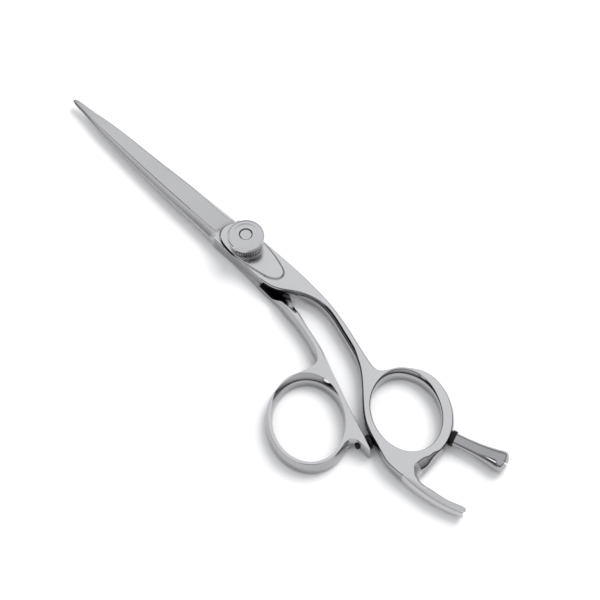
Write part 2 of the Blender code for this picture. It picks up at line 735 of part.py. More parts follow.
def make_pivot(steel_plain, steel_dark, bronze, plastic):
    """The screw, its bush and everything stacked on it. Returns the height of the top of the stack."""
    shank_top = BOSS_TOP + 0.5
    mesh = turned(
        [
            (0, 0),
            (HEAD_RADIUS - 0.15, 0),
            (HEAD_RADIUS, 0.15),
            (HEAD_RADIUS, HEAD_TOP),
            (SHANK_RADIUS, HEAD_TOP),
            (SHANK_RADIUS, RIDE),
            (SHANK_RADIUS, shank_top),
            (THREAD_RADIUS, shank_top),
            (THREAD_RADIUS, SCREW_TOP),
            (LOCK_SHANK + CLEARANCE, SCREW_TOP),
            (LOCK_SHANK + CLEARANCE, LOCK_FLOOR),
            (0, LOCK_FLOOR),
        ]
    )
    for vertex in mesh.verts:
        in_keyed_part = vertex.co.z > (RIDE - 0.01) * MM
        if in_keyed_part and math.hypot(vertex.co.x, vertex.co.y) > (LOCK_SHANK + THREAD_RADIUS) / 2 * MM:
            vertex.co.x = min(max(vertex.co.x, -FLAT_AT * MM), FLAT_AT * MM)
    add_object("pivot_screw", mesh, steel_plain)

    low, high = HEAD_TOP + 0.1, THICKNESS - RIDE - 0.02
    add_object("pivot_bush", flat_ring(BUSH_INNER, BUSH_OUTER, low, high), bronze)

    low = THICKNESS - RIDE + 0.03
    mesh = flat_ring(WASHER_INNER, WASHER_OUTER, low, low + WASHER_THICKNESS)
    add_object("blade_washer", mesh, plastic)

    def notched(radius, turn):
        depth = NOTCH_DEPTH * max(0.0, math.cos(CLICK_NOTCHES * turn))
        return radius - depth if radius == CLICK_RADIUS else radius

    low = BOSS_TOP + 0.03
    high = low + CLICK_THICKNESS
    inner = SHANK_RADIUS + CLEARANCE
    mesh = flat_ring(inner, CLICK_RADIUS, low, high, CLICK_NOTCHES * 4, notched)
    limit = (FLAT_AT + CLEARANCE) * MM
    for vertex in mesh.verts:
        if math.hypot(vertex.co.x, vertex.co.y) < (inner + CLICK_RADIUS) / 2 * MM:
            vertex.co.x = min(max(vertex.co.x, -limit), limit)
    add_object("click_washer", mesh, steel_dark)

    base = high + STACK_GAP
    top_base = base + 2 * SPRING_RISE + SPRING_THICKNESS + STACK_GAP
    for name, outer_z, inner_z in (
        ("spring_washer_lower", base, base + SPRING_RISE),
        ("spring_washer_upper", top_base, top_base - SPRING_RISE),
    ):
        mesh = turned(
            [
                (SPRING_INNER, inner_z),
                (SPRING_OUTER, outer_z),
                (SPRING_OUTER, outer_z + SPRING_THICKNESS),
                (SPRING_INNER, inner_z + SPRING_THICKNESS),
            ]
        )
        add_object(name, mesh, steel_dark)
    low = top_base + SPRING_THICKNESS + STACK_GAP
    high = low + DIAL_WASHER_THICKNESS
    add_object("dial_washer", flat_ring(DIAL_WASHER_INNER, SPRING_OUTER, low, high), plastic)
    return high


def make_dial(material, pocket_top):
    """The knurled dial and the screw that locks it."""
    steps = DIAL_RIBS * 2

    def ribbed(radius, turn):
        between_ribs = round(turn / (2 * math.pi) * steps) % 2
        return radius - RIB_DEPTH * between_ribs if radius == DIAL_RADIUS else radius

    mesh = turned(
        [
            (POCKET_RADIUS, DIAL_BASE + 0.1),
            (DIAL_RADIUS - 0.25, DIAL_BASE),
            (DIAL_RADIUS, DIAL_BASE + 0.25),
            (DIAL_RADIUS, DIAL_TOP - 1.85),
            (CAP_RADIUS - 0.15, DIAL_TOP - 1.7),
            (CAP_RADIUS, DIAL_TOP - 1.55),
            (CAP_RADIUS, DIAL_TOP - 1.0),
            (CAP_RADIUS - 0.3, DIAL_TOP - 0.45),
            (CAP_RADIUS - 1.0, DIAL_TOP - 0.22),
            (LOCK_RADIUS + 0.3, DIAL_TOP),
            (LOCK_RADIUS + 0.12, DIAL_TOP - 0.15),
            (LOCK_RADIUS + 0.12, DIAL_TOP - RECESS_DEPTH),
            (DIAL_BORE, DIAL_TOP - RECESS_DEPTH),
            (DIAL_BORE, pocket_top),
            (POCKET_RADIUS, pocket_top),
        ],
        steps,
        ribbed,
    )
    add_object("tension_dial", mesh, material, 30)

    head = DIAL_TOP - RECESS_DEPTH + 0.02
    foot = LOCK_FLOOR + 0.15
    mesh = turned(
        [
            (0, foot),
            (LOCK_SHANK, foot),
            (LOCK_SHANK, head),
            (LOCK_RADIUS, head),
            (LOCK_RADIUS, DIAL_TOP - 0.3),
            (LOCK_RADIUS - 0.35, DIAL_TOP - 0.08),
            (0, DIAL_TOP + 0.08),
        ]
    )
    add_object("lock_screw", mesh, material)


def make_finger_rest(material, rubber):
    along_rest = lying(*REST_FROM, REST_TURN)
    radius, thickness = REST_WASHER
    start = thickness + 0.08
    profile = [(0, -STUD_LENGTH), (STUD_RADIUS, -STUD_LENGTH), (STUD_RADIUS, start)]
    profile += [(radius_there, start + share * REST_LENGTH) for share, radius_there in REST_PROFILE]
    profile += [(0, start + REST_LENGTH + REST_DOME)]
    rest = add_object("finger_rest", turned(profile), material)
    rest.matrix_world = along_rest
    slot = bmesh.new()
    bmesh.ops.create_cube(slot, size=1)
    slot.transform(Matrix.Diagonal((REST_SLOT_WIDTH * MM, 8 * MM, 2 * MM, 1)))
    slot.transform(Matrix.Rotation(math.radians(REST_SLOT_TURN), 4, "Z"))
    slot.transform(Matrix.Translation((0, 0, (start + REST_LENGTH + REST_DOME - REST_SLOT_DEPTH + 1) * MM)))
    boolean(rest, cutter("rest_slot", slot, along_rest))

    low = STACK_GAP
    high = low + thickness
    inner = STUD_RADIUS + CLEARANCE
    mesh = turned(
        [
            (inner, low),
            (radius - 0.2, low),
            (radius, low + 0.3),
            (radius, high - 0.3),
            (radius - 0.2, high),
            (inner, high),
        ]
    )
    washer = add_object("finger_rest_washer", mesh, rubber)
    washer.matrix_world = along_rest


def make_bumper(rubber):
    radius, thickness = BUMPER_HEAD
    back = -SPUR_WIDTH - 0.1
    mesh = turned(
        [
            (0, back - 0.15),
            (BUMPER_STEM - 0.1, back - 0.1),
            (BUMPER_STEM, back + 0.1),
            (BUMPER_STEM, 0.08),
            (radius - 0.1, 0.08),
            (radius, 0.25),
            (radius - 0.15, thickness - 0.15),
            (radius - 0.5, thickness),
            (0, thickness),
        ]
    )
    bumper = add_object("bumper", mesh, rubber)
    bumper.matrix_world = lying(*BUMPER_AT, BUMPER_TURN)


def main():
    for node in list(bpy.data.objects):
        bpy.data.objects.remove(node)
    polished = steel("polished_steel", (0.78, 0.78, 0.8), 0.12)
    dark = steel("spring_steel", (0.45, 0.45, 0.47), 0.3)
    bronze = steel("bronze", (0.65, 0.45, 0.22), 0.35)
    plastic = steel("slippery_plastic", (0.85, 0.85, 0.82), 0.5, 0.0)
    rubber = steel("black_rubber", (0.012, 0.012, 0.014), 0.35, 0.0)
    make_finger_half(polished)
    make_thumb_half(polished)
    stack_top = make_pivot(polished, dark, bronze, plastic)
    make_dial(polished, stack_top + STACK_GAP)
    make_finger_rest(polished, rubber)
    make_bumper(rubber)


main()
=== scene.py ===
"""Looks for the hair cutting shears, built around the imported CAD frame.

Lengths below are in millimetres, and MM turns them into metres. The frame is the CAD's: the shears lie
flat and closed, with the pivot axis through the origin, +Y to the blade tips and +Z up.

Each half is drawn with its outer face up and its spine on the left (-X), as one skin without seams: a
strip for the blade, the pivot and the shank, a plate with an oval hole for the ring, and on the finger
half one more strip for the tang. The thumb half is then turned over about the Y axis, so that the two
ride faces meet.
"""

import math

import bmesh
import bpy
import numpy as np
from mathutils import Matrix, Vector, geometry

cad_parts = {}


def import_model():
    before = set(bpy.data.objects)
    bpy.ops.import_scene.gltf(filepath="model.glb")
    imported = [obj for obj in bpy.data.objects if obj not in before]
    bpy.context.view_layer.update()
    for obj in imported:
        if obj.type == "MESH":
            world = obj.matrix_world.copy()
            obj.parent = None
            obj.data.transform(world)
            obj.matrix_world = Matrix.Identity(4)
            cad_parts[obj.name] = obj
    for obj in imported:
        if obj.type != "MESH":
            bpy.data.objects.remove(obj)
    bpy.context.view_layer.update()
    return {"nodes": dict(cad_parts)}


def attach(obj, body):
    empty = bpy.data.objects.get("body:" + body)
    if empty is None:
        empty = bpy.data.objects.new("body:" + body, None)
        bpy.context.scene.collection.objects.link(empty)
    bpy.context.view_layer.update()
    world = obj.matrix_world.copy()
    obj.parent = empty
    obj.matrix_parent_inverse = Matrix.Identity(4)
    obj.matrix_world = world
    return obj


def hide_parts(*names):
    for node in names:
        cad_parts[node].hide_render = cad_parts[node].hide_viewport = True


MM = 0.001

# Camera, floor and light. A direction is an azimuth and an elevation, in degrees.
TARGET = (0.13, -21.1, 0.0)
AZIMUTH, ELEVATION = -45.0, 60.0
DISTANCE, LENS, SENSOR = 450.0, 97.2, 36.0
FLOOR_SIZE = 6000.0
FLOOR_DROP = 0.02  # keeps the floor just below the faces that lie on it
KEY_DIRECTION, KEY_DISTANCE, KEY_SIZE, KEY_POWER = (84, 56), 0.9, 0.6, 5.0  # in metres and watts
# The sky. An edge is the range of a cosine or of a height over which one strength turns into another.
SKY_EDGE, SKY_STRENGTHS = (-0.05, 0.62), (0.12, 1.0)  # from the horizon up
CORNER_DIRECTION, CORNER_EDGE, CORNER_STRENGTH = (-124, 18), (0.84, 0.92), 0.03
LOW_EDGE, NEAR_EDGE, HORIZON_STRENGTH = (0.05, 0.16), (-0.35, 0.0), 0.05
WINDOW_DIRECTION, WINDOW_EDGE, WINDOW_STRENGTH = (-106, 26), (0.985, 0.995), 2.4
SKY_COLOUR = (0.98, 0.985, 1.0, 1)

# Heights above the surface
THICKNESS = 5.2  # a shank and a ring, floor to flat top
RIDE_GAP = 0.06  # left between the two ride faces
RIDE = THICKNESS / 2 + RIDE_GAP / 2  # ride face of the half that lies outer face up
BOSS_TOP = THICKNESS + 0.5
DIAL_BASE = BOSS_TOP + 0.1
DIAL_TOP = 10.9

# Fineness of the skin
SPACING = 0.55  # along an outline
RING_STEPS = 144  # around a ring's hole
UPPER_LEVELS = 10  # down a side wall, from the flat top to its widest line
LOWER_LEVELS = 6  # from there to the underside
ROUND_STEPS = 96  # around a turned piece
BORE_STEPS = 48  # around a small hole

# Blades
BLADE_END = 7  # station where the ground blade ends
PIVOT_START = 8  # station where the full pivot plate starts
TIP_THICKNESS = 0.75
ROOT_THICKNESS = THICKNESS - RIDE
BLADE_LENGTH = 73.4
ROOT_Y = 10.0
EDGE_THICKNESS = 0.14
SPINE_SHARE = 0.62  # height of the spine wall, as a share of the blade's thickness
RIDGE_SHARE = 0.2  # how far across the blade the ridge is
HONE_SHARE = 0.94  # where the narrow honed band along the cutting edge starts
HONE_LIFT = 0.1  # how much the ground face is fuller there than a straight slope
RIDGE_STEP, STEP_SHARE = 0.07, 0.03  # the ground face starts this much lower, over this share
RIDGE_FADE = 20.0  # Y where the painted dark line beside the ridge ends
BEVEL_ROUND = 0.35  # how round the bevel from the spine to the ridge is: 0 is flat
# Where the points across the top and the underside of a strip are
TOP_SHARES = (
    *(0.03, 0.07, 0.1, 0.14, 0.185, 0.2, 0.215, 0.23, 0.25),
    *(0.35, 0.5, 0.65, 0.8, 0.92, 0.94, 0.96, 0.985),
)
LOW_SHARES = (0.06, 0.12, 0.19, 0.26, 0.35, 0.44, 0.52, 0.6, 0.68, 0.76, 0.83, 0.89, 0.94, 0.98)

# Side walls
TOP_INSET = 0.6  # the flat top is this much narrower than the outline
LOW_INSET = 0.8
PLATE_INSET = 0.22  # the top inset at the pivot
WIDEN_FROM, WIDEN_OVER = 10, 3  # station where that starts to widen to the shank's, and over how many
WIDEST_SHARE = 0.45  # height of the widest line in a side wall
EDGE_SLOPE = math.tan(math.radians(40))  # how steeply a wall leaves a crisp top edge
LOW_POWER = 2.0  # how late a wall turns in to the underside
LEAST_POWER = 1.15  # the least that a crisp wall curves
CRISP_SPACING = 1.6  # gathers a crisp wall's levels near its top edge

# Rings: hole centre, half length, half width, direction of the length, wall around the hole, and how
# much thicker the wall is on the side away from the pivot
FINGER_RING = {"x": -6.05, "y": -66.9, "long": 11.6, "wide": 9.05, "turn": 62.0, "wall": 2.0, "swell": 1.35}
THUMB_RING = {"x": 25.95, "y": -50.3, "long": 11.95, "wide": 9.4, "turn": 127.0, "wall": 1.95, "swell": 0.0}
SWELL_FROM, SWELL_OVER = 48, 50  # angle where the thicker wall starts, and over how many degrees it grows

# Boss that the dial stands on, clockwise from its blade end
BOSS_OUTLINE = (
    *((-0.5, 8.5), (2.6, 7.3), (3.95, 3.5), (3.9, -2.0), (3.15, -7.5), (1.95, -12.0), (0.75, -14.1)),
    *((-0.7, -14.55), (-2.3, -13.55), (-3.85, -9.0), (-4.85, -2.5), (-4.75, 3.5), (-3.2, 7.3)),
)
BOSS_STEPS = 12  # from each point of the outline to the next
BOSS_FOOT, BOSS_EDGE = 0.3, -0.3  # how far the step's foot and top edge stand outside the outline
BOSS_LEVELS = 8
BOSS_SINK, FOOT_SINK = 1.0, 0.002  # how far the boss and its step's foot start below the flat top

# Pivot, from the underside up
HEAD_RADIUS, HEAD_TOP = 4.0, 0.95
HEAD_GAP = 0.12
BUSH_OUTER = 3.0
BUSH_GAP = 0.05
SHANK_RADIUS, THREAD_RADIUS = 2.12, 1.8
FLAT_AT = 1.75  # distance of the screw's two flats from its axis
WASHER_OUTER, WASHER_THICKNESS = 3.5, 0.3
DIAL_RADIUS, CAP_RADIUS, DIAL_BORE = 4.7, 5.15, 1.9
DIAL_RIBS = 56
RIB_DEPTH = 0.3
CAP_ROUND = 1.3  # how far in the rounding of the cap's edge reaches
CAP_FALL = 0.4  # how much lower the dome is there than in the middle
POCKET_RADIUS = 4.3
POCKET_TOP = 7.95
LOCK_RADIUS, LOCK_SHANK = 1.75, 0.95
LOCK_FLOOR, SCREW_TOP = 6.6, 9.8  # bottom of the lock screw's hole, and the pivot screw's top
RECESS_DEPTH = 0.95  # of the lock screw's place in the dial's top
CLEARANCE = 0.06  # around a screw or stem in its hole
STACK_GAP = 0.04
NEAR = 0.01  # allowed when a face is found by its place

# Finger rest and bumper
REST_FROM = (-2.6, -79.7)  # where its axis meets the seat
REST_TURN = -73.2  # its direction, from +X
REST_HEIGHT = THICKNESS / 2 + 0.35
REST_LENGTH, REST_DOME = 14.2, 0.85
# share of the length, radius
REST_PROFILE = ((0.0, 1.75), (0.3, 1.8), (0.55, 2.05), (0.8, 2.6), (0.92, 2.88), (0.955, 2.88))
REST_SLOT_WIDTH, REST_SLOT_DEPTH, REST_SLOT_TURN = 0.8, 1.2, -70
SLOT_CUTTER = (8, 2)  # length and height of the box that cuts it
REST_WASHER = (2.2, 1.35)  # radius and thickness
REST_SEAT_RADIUS = 3.6
STUD_RADIUS, STUD_LENGTH = 1.0, 1.7
BUMPER_AT = (-19.1, -65.35)  # just clear of the inner side of the spur
BUMPER_TURN = -24.0
BUMPER_HEAD = (1.95, 1.0)  # radius and thickness
BUMPER_STEM, BUMPER_FOOT = 0.85, 0.08  # its radius, and where the head starts
SPUR_WIDTH = 3.0
PLUG_PROUD = 0.4  # how far the plug stands out on the spur's other side

# Outline of the finger half, from the tip to the ring. A station is X and Y on the left, then on the right.
FINGER_STATIONS = (
    (-0.5, 73.4, 0.5, 73.4), (-0.75, 72.5, 0.8, 72.5), (-1.1, 69.5, 1.15, 69.5),
    (-2.0, 62.5, 1.85, 62.5), (-2.8, 54.0, 2.5, 54.0), (-3.75, 40.0, 3.05, 40.0),
    (-4.6, 22.0, 3.8, 22.0), (-5.0, 9.9, 4.2, 8.6), (-5.1, 8.3, 4.35, 7.5),
    (-5.15, 0.0, 4.4, 0.0), (-5.0, -9.0, 4.4, -7.0), (-4.0, -15.7, 4.4, -13.5),
    (-1.9, -19.4, 4.35, -19.0), (0.1, -23.2, 4.0, -25.0), (1.0, -28.0, 3.3, -30.5),
    (0.3, -33.2, 2.1, -36.0), (-1.2, -38.2, 0.7, -41.0), (-2.75, -43.1, -0.7, -45.5),
    (-4.7, -47.7, -1.8, -49.3),
)
# Stations between which the underside drops from the ride face to the surface
FINGER_SHOULDER = (12.1, 13.1)

# Outline of the thumb half, drawn turned over: its X here is the opposite of its X in place.
THUMB_STATIONS = (
    (-0.45, 73.3, 0.45, 73.3), (-0.75, 72.4, 0.7, 72.4), (-1.1, 69.5, 1.05, 69.5),
    (-1.85, 62.5, 1.9, 62.5), (-2.5, 54.0, 2.5, 54.0), (-3.0, 40.0, 3.25, 40.0),
    (-3.9, 22.0, 4.2, 22.0), (-4.35, 9.6, 4.85, 9.9), (-4.4, 8.7, 4.95, 8.3),
    (-4.4, 0.0, 5.15, 0.0), (-3.7, -8.0, 5.6, -8.0), (-1.2, -14.5, 6.05, -14.5),
    (1.6, -18.8, 6.3, -18.5), (3.4, -22.6, 6.9, -22.3), (4.6, -26.2, 7.6, -26.5),
    (5.7, -29.7, 8.4, -30.3), (7.1, -35.0, 9.3, -33.5), (8.6, -39.3, 10.2, -36.2),
)
THUMB_SHOULDER = (12.85, 13.85)  # the same on the thumb half's inner side
THUMB_RIM = (11.4, 12.6)  # and on its outer side, where the shoulder curves forward
HOLLOW_DEPTH = 1.0  # of the hollow in the thumb half's ride face, in front of the shoulder
HOLLOW_FROM = (10.0, 11.1)  # stations over which it deepens
NECK_UNDERCUT = 1.3  # how far under the finger half's inner wall turns beside that hollow
NECK_STATIONS = (10.5, 11.5, 12.6, 13.6)  # where it starts, is full, starts to fade, and ends
INNER_BEVEL = 0.4  # how much wider than elsewhere the bevel on the inner side of the finger half's shank is
INNER_STATIONS = (13.0, 14.5, 17.0, 18.0)  # as for the undercut
OUTER_BEVEL = 0.5  # the same on the outer side of the thumb half's shank
OUTER_STATIONS = (13.1, 13.8, 15.8, 17.0)

# The finger half's tang, from the plate to its end
TANG_STATIONS = (
    (-20.6, -82.0, -17.6, -82.6), (-20.3, -85.5, -17.45, -86.0), (-19.7, -89.0, -16.9, -89.5),
    (-18.7, -92.7, -16.0, -92.8), (-17.5, -95.8, -15.1, -95.0), (-16.7, -96.95, -15.0, -96.4),
)
TANG_TOP_INSETS = (1.3, 0.8)  # left and right
TANG_LOW_INSETS = (1.5, 0.9)
TANG_END_TOP, TANG_END_LOW = 0.55, 0.6  # share of those insets at the end
TANG_CRISP = 0.8  # how crisp its right wall is
TANG_DROP = 0.9  # how much lower the tang's end is than its root
TANG_LIFT = 0.8  # how much the underside rises towards the end

# Finishes of a half, in the order of its mesh's slots. Three carry painted light: the polished walls are
# painted darker as shade, the hollow's finish takes painted shade, and the line finish is painted dark
# reflection lines.
FINISHES = ("polished", "brushed", "ground", "shaded_recess", "satin", "line")
POLISHED_SHADED, BRUSHED, GROUND, SHADED_RECESS, SATIN, PAINTED_LINE = range(6)
LEVEL = 0.995  # least size of a brushed face's normal in Z
TOP_BAND, RIDE_BAND = 0.1, 0.05  # how far below the flat top or above the ride face it may be
# The step beside the ridge, which gets a painted dark line: least X of its normal, and its heights as shares
# of the blade's thickness
LINE_LEAN, LINE_SHARES = 0.3, (0.88, 1.01)
GROUND_UP, GROUND_LEAN = 0.7, 0.01  # least Z and X of the ground face's normal
SATIN_Y = ROOT_Y - 2  # the rest of the blade is satin in front of this
RECESS_NORMAL, RECESS_Y = -0.8, (-24, -10)  # most Z of the normal of a face in the hollow's finish with painted shade, and where along Y it is
TANG_X, TANG_Y = -15.0, -79.0  # the tang is satin to the left of this and further back
HOLLOW_Y = -10.5  # the hollow's painted shade lies further back than this, and the painted dark lines along the flat tops start here
EDGE_LINE = 0.16  # depth of the painted dark line along the edges of the flat tops
SHADE = "shade"  # vertex attribute: how far the painted shade darkens the hollow's finish
SHADE_HEIGHTS = (RIDE - 0.2, THICKNESS - 1)  # only vertices between these get painted shade
# The painted shade's left border and its back one. Each bends at a point of the other axis, and then slants.
LEFT_X, LEFT_BEND, LEFT_SLANT, LEFT_BLUR = 2.9, -18, 0.27, 0.4
BACK_Y, BACK_BEND, BACK_SLANT, BACK_BLUR = -20.9, 4, 1.9, 0.7
FRONT_BLUR = 0.5
NOISE_RANGE = (0.3, 0.7)  # a noise hardly leaves it

# Steels: tone from dark to light, roughness, scale and stretch of the scratches, and their depth in metres
STEELS = {
    # polished steel, its tone painted darker than the brushed flats as painted shade on the walls
    "polished": ((0.34, 0.34, 0.35), (0.39, 0.39, 0.4), (0.05, 0.08), 2200, (1, 0.15, 1), 1e-6),
    "brushed": ((0.58, 0.58, 0.59), (0.61, 0.61, 0.62), (0.2, 0.25), 3500, (1, 0.06, 1), 8e-7),
    "ground": ((0.55, 0.55, 0.56), (0.58, 0.58, 0.59), (0.22, 0.28), 4500, (0.05, 1, 1), 4e-7),
    "machined": ((0.53, 0.53, 0.54), (0.59, 0.59, 0.6), (0.06, 0.1), 3000, (1, 1, 1), 1e-6),
    # dark steel for painted shade in the dial's rib grooves and the rest post's slot
    "knurled": ((0.02, 0.02, 0.021), (0.05, 0.05, 0.052), (0.15, 0.25), 5000, (1, 1, 1), 3e-6),
    "satin": ((0.5, 0.5, 0.51), (0.54, 0.54, 0.55), (0.34, 0.4), 3500, (1, 0.06, 1), 1e-6),
    # the hollow's steel, which takes the painted shade
    "shaded_recess": ((0.34, 0.34, 0.35), (0.39, 0.39, 0.4), (0.1, 0.18), 3000, (1, 1, 1), 1e-6),
    # painted dark reflection lines beside the ridge and along the edges of the flat tops
    "line": ((0.12, 0.12, 0.125), (0.2, 0.2, 0.21), (0.2, 0.3), 3000, (1, 1, 1), 1e-6),
}
SHADED = (0.012, 0.012, 0.013)  # painted shade: the colour that the hollow's steel turns into


def smooth(share):
    """0 below 0, 1 above 1, and an S-curve between them."""
    share = min(max(share, 0.0), 1.0)
    return share * share * (3 - 2 * share)


def ramp(value, start, end):
    """0 up to the start, 1 from the end on, and an S-curve between them."""
    return smooth((value - start) / (end - start))


def mix(first, second, share):
    return first + (second - first) * share


class Curve:
    """A cubic with continuous curvature through all its knots. A knot is a row of numbers, x and y first."""

    def __init__(self, knots):
        self.knots = np.array(knots, float)
        self.lengths = np.linalg.norm(np.diff(self.knots[:, :2], axis=0), axis=1)
        count = len(self.knots)
        matrix = np.eye(count)
        slopes = np.zeros_like(self.knots)
        steps = np.diff(self.knots, axis=0) / self.lengths[:, None]
        for i in range(1, count - 1):
            before, after = self.lengths[i - 1 : i + 1]
            matrix[i, i - 1 : i + 2] = before, 2 * (before + after), after
            slopes[i] = 6 * (steps[i] - steps[i - 1])
        self.bends = np.linalg.solve(matrix, slopes)

    def at(self, span, share):
        back = 1 - share
        cubic = (back**3 - back) * self.bends[span] + (share**3 - share) * self.bends[span + 1]
        straight = back * self.knots[span] + share * self.knots[span + 1]
        return straight + cubic * self.lengths[span] ** 2 / 6

    def points(self, steps):
        """The whole curve, with this many steps from each knot to the next."""
        spans = len(self.knots) - 1
        return [self.at(i, j / steps) for i in range(spans) for j in range(steps)] + [self.knots[-1]]


def ring_point(ring, angle, outset):
    """The point on the oval around a ring's hole, outset from it, roughly in this direction."""
    turn = math.radians(ring["turn"])
    along = (ring["long"] + outset) * math.cos(math.radians(angle) - turn)
    across = (ring["wide"] + outset) * math.sin(math.radians(angle) - turn)
    x = ring["x"] + along * math.cos(turn) - across * math.sin(turn)
    y = ring["y"] + along * math.sin(turn) + across * math.cos(turn)
    return x, y


def ring_arc(ring, start, end, top=TOP_INSET, low=LOW_INSET, step=15):
    """Knots of a plate's outline along the outside of a ring."""
    count = round(abs(end - start) / step)
    knots = []
    for i in range(count + 1):
        angle = mix(start, end, i / count)
        wall = ring["wall"] + ring["swell"] * smooth((SWELL_FROM - angle) / SWELL_OVER)
        knots.append((*ring_point(ring, angle, wall), top, low))
    return knots


def bump(angle, centre, half_width):
    """1 at the centre angle, falling to 0 at half_width to either side."""
    away = abs((angle - centre + 180) % 360 - 180)
    return 0.5 + 0.5 * math.cos(math.pi * min(away / half_width, 1))


def wall_levels(top_inset, low_inset, low, top, crisp=1.0):
    """(inset, height) down a side wall, which leaves the flat top at an angle if crisp, and else is round."""
    widest = mix(low, top, WIDEST_SHARE)
    drop = top - widest
    power = max(LEAST_POWER, drop / (max(top_inset, 0.01) * EDGE_SLOPE))
    levels = []
    for i in range(UPPER_LEVELS + 1):
        turn = math.pi / 2 * (1 - i / UPPER_LEVELS)
        round_inset, round_depth = top_inset * (1 - math.cos(turn)), drop * (1 - math.sin(turn))
        share = (i / UPPER_LEVELS) ** CRISP_SPACING
        crisp_inset, crisp_depth = top_inset * (1 - share) ** power, drop * share
        depth = mix(round_depth, crisp_depth, crisp)
        levels.append((mix(round_inset, crisp_inset, crisp), top - depth))
    for i in range(1, LOWER_LEVELS + 1):
        share = math.sin(math.pi / 2 * i / LOWER_LEVELS)
        levels.append((low_inset * share**LOW_POWER, mix(widest, low, share)))
    return levels


class Skin:
    """Collects the one closed surface of a half."""

    def __init__(self):
        self.mesh = bmesh.new()

    def column(self, point, normal, *wall):
        """Vertices down the wall at one point of an outline, whose normal points out of the metal."""
        vertices = []
        for inset, height in wall_levels(*wall):
            x, y = np.array(point) - np.array(normal) * inset
            vertices.append(self.mesh.verts.new((x * MM, y * MM, height * MM)))
        return vertices

    def face(self, vertices):
        self.mesh.faces.new(vertices)

    def wall(self, columns):
        """Faces between neighbouring rows of vertices."""
        for first, second in zip(columns, columns[1:]):
            for i in range(len(first) - 1):
                self.face((first[i], second[i], second[i + 1], first[i + 1]))

    def strip(self, lefts, tops, lows, rights):
        """Top and underside between the left and the right columns, through the tops and lows."""
        upper = [[left[0], *row, right[0]] for left, row, right in zip(lefts, tops, rights)]
        under = [[right[-1], *reversed(row), left[-1]] for left, row, right in zip(lefts, lows, rights)]
        self.wall(upper)
        self.wall(under)

    def plate(self, border, hole, upper):
        """A flat face inside the border, with a hole."""
        rings = [[vertex.co.to_2d().to_3d() / MM for vertex in loop] for loop in (border, hole)]
        vertices = border + hole
        for triangle in geometry.tessellate_polygon(rings):
            corners = [vertices[i] for i in triangle]
            a, b, c = (corner.co.to_2d() for corner in corners)
            if (((b - a).cross(c - a)) > 0) != upper:
                corners.reverse()
            self.face(corners)


def normals_of(points):
    """Outward normals of an outline that runs clockwise, seen from above."""
    points = np.array(points)
    ahead = np.vstack([points[1:], points[-1:]])
    behind = np.vstack([points[:1], points[:-1]])
    along = ahead - behind
    along /= np.linalg.norm(along, axis=1)[:, None]
    return np.column_stack([-along[:, 1], along[:, 0]])


def closed_curve(knots, steps):
    """(point, outward normal) around a closed clockwise outline, with this many steps between its knots."""
    curve = Curve([*knots[-3:], *knots, *knots[:3]])
    points = [curve.at(i + 3, j / steps) for i in range(len(knots)) for j in range(steps)]
    normals = normals_of([points[-1], *points, points[0]])[1:-1]
    return list(zip(points, normals))


def finger_level(station, _):
    """0 where the finger half's underside is the ride face, 1 where it is at the surface."""
    return ramp(station, *FINGER_SHOULDER)


def thumb_level(station, share):
    """The same on the thumb half, where it depends on how far across it is, from 0 inside to 1 outside."""
    start = mix(THUMB_SHOULDER[0], THUMB_RIM[0], share**3)
    end = mix(THUMB_SHOULDER[1], THUMB_RIM[1], share**3)
    return ramp(station, start, end)


def between_stations(station, stations):
    """0 up to the first of four stations, 1 from the second to the third, and 0 from the fourth on."""
    return ramp(station, *stations[:2]) * (1 - ramp(station, *stations[2:]))


def finger_insets(station, share):
    """What the finger half's wall adds to its top and low insets."""
    bevel = INNER_BEVEL * (1 - share) * between_stations(station, INNER_STATIONS)
    return bevel, NECK_UNDERCUT * (1 - share) * between_stations(station, NECK_STATIONS)


def thumb_insets(station, share):
    """The same for the thumb half."""
    return OUTER_BEVEL * share * between_stations(station, OUTER_STATIONS), 0.0


def no_hollow(*_):
    return 0.0


def thumb_hollow(station, share):
    """Depth of the hollow, which grows from the thumb half's outer edge to its middle."""
    return HOLLOW_DEPTH * ramp(station, *HOLLOW_FROM) * min((1 - share) / 0.5, 1.0)


def blade_thickness(y):
    return mix(TIP_THICKNESS, ROOT_THICKNESS, (BLADE_LENGTH - y) / (BLADE_LENGTH - ROOT_Y))


def blade_heights(y, station):
    """Heights of the spine wall's top, of the points across the top, and of the cutting edge."""
    thickness = blade_thickness(y)
    plate_share = ramp(station, BLADE_END, PIVOT_START)
    spine = RIDE + thickness * SPINE_SHARE
    edge = RIDE + EDGE_THICKNESS
    across = []
    for share in TOP_SHARES:
        if share < RIDGE_SHARE:
            rise = share / RIDGE_SHARE
            across.append(mix(spine, RIDE + thickness, mix(rise, math.sin(math.pi / 2 * rise), BEVEL_ROUND)))
            continue
        ground = (share - RIDGE_SHARE) / (1 - RIDGE_SHARE)
        step = RIDGE_STEP * min(1.0, (share - RIDGE_SHARE) / STEP_SHARE) * (1 - ground)
        fuller = HONE_LIFT * thickness * (share - RIDGE_SHARE) / (HONE_SHARE - RIDGE_SHARE)
        if share > HONE_SHARE:
            fuller = HONE_LIFT * thickness * (1 - share) / (1 - HONE_SHARE)
        across.append(mix(RIDE + thickness, edge, ground) + fuller - step)
    return [mix(height, THICKNESS, plate_share) for height in (spine, *across, edge)]


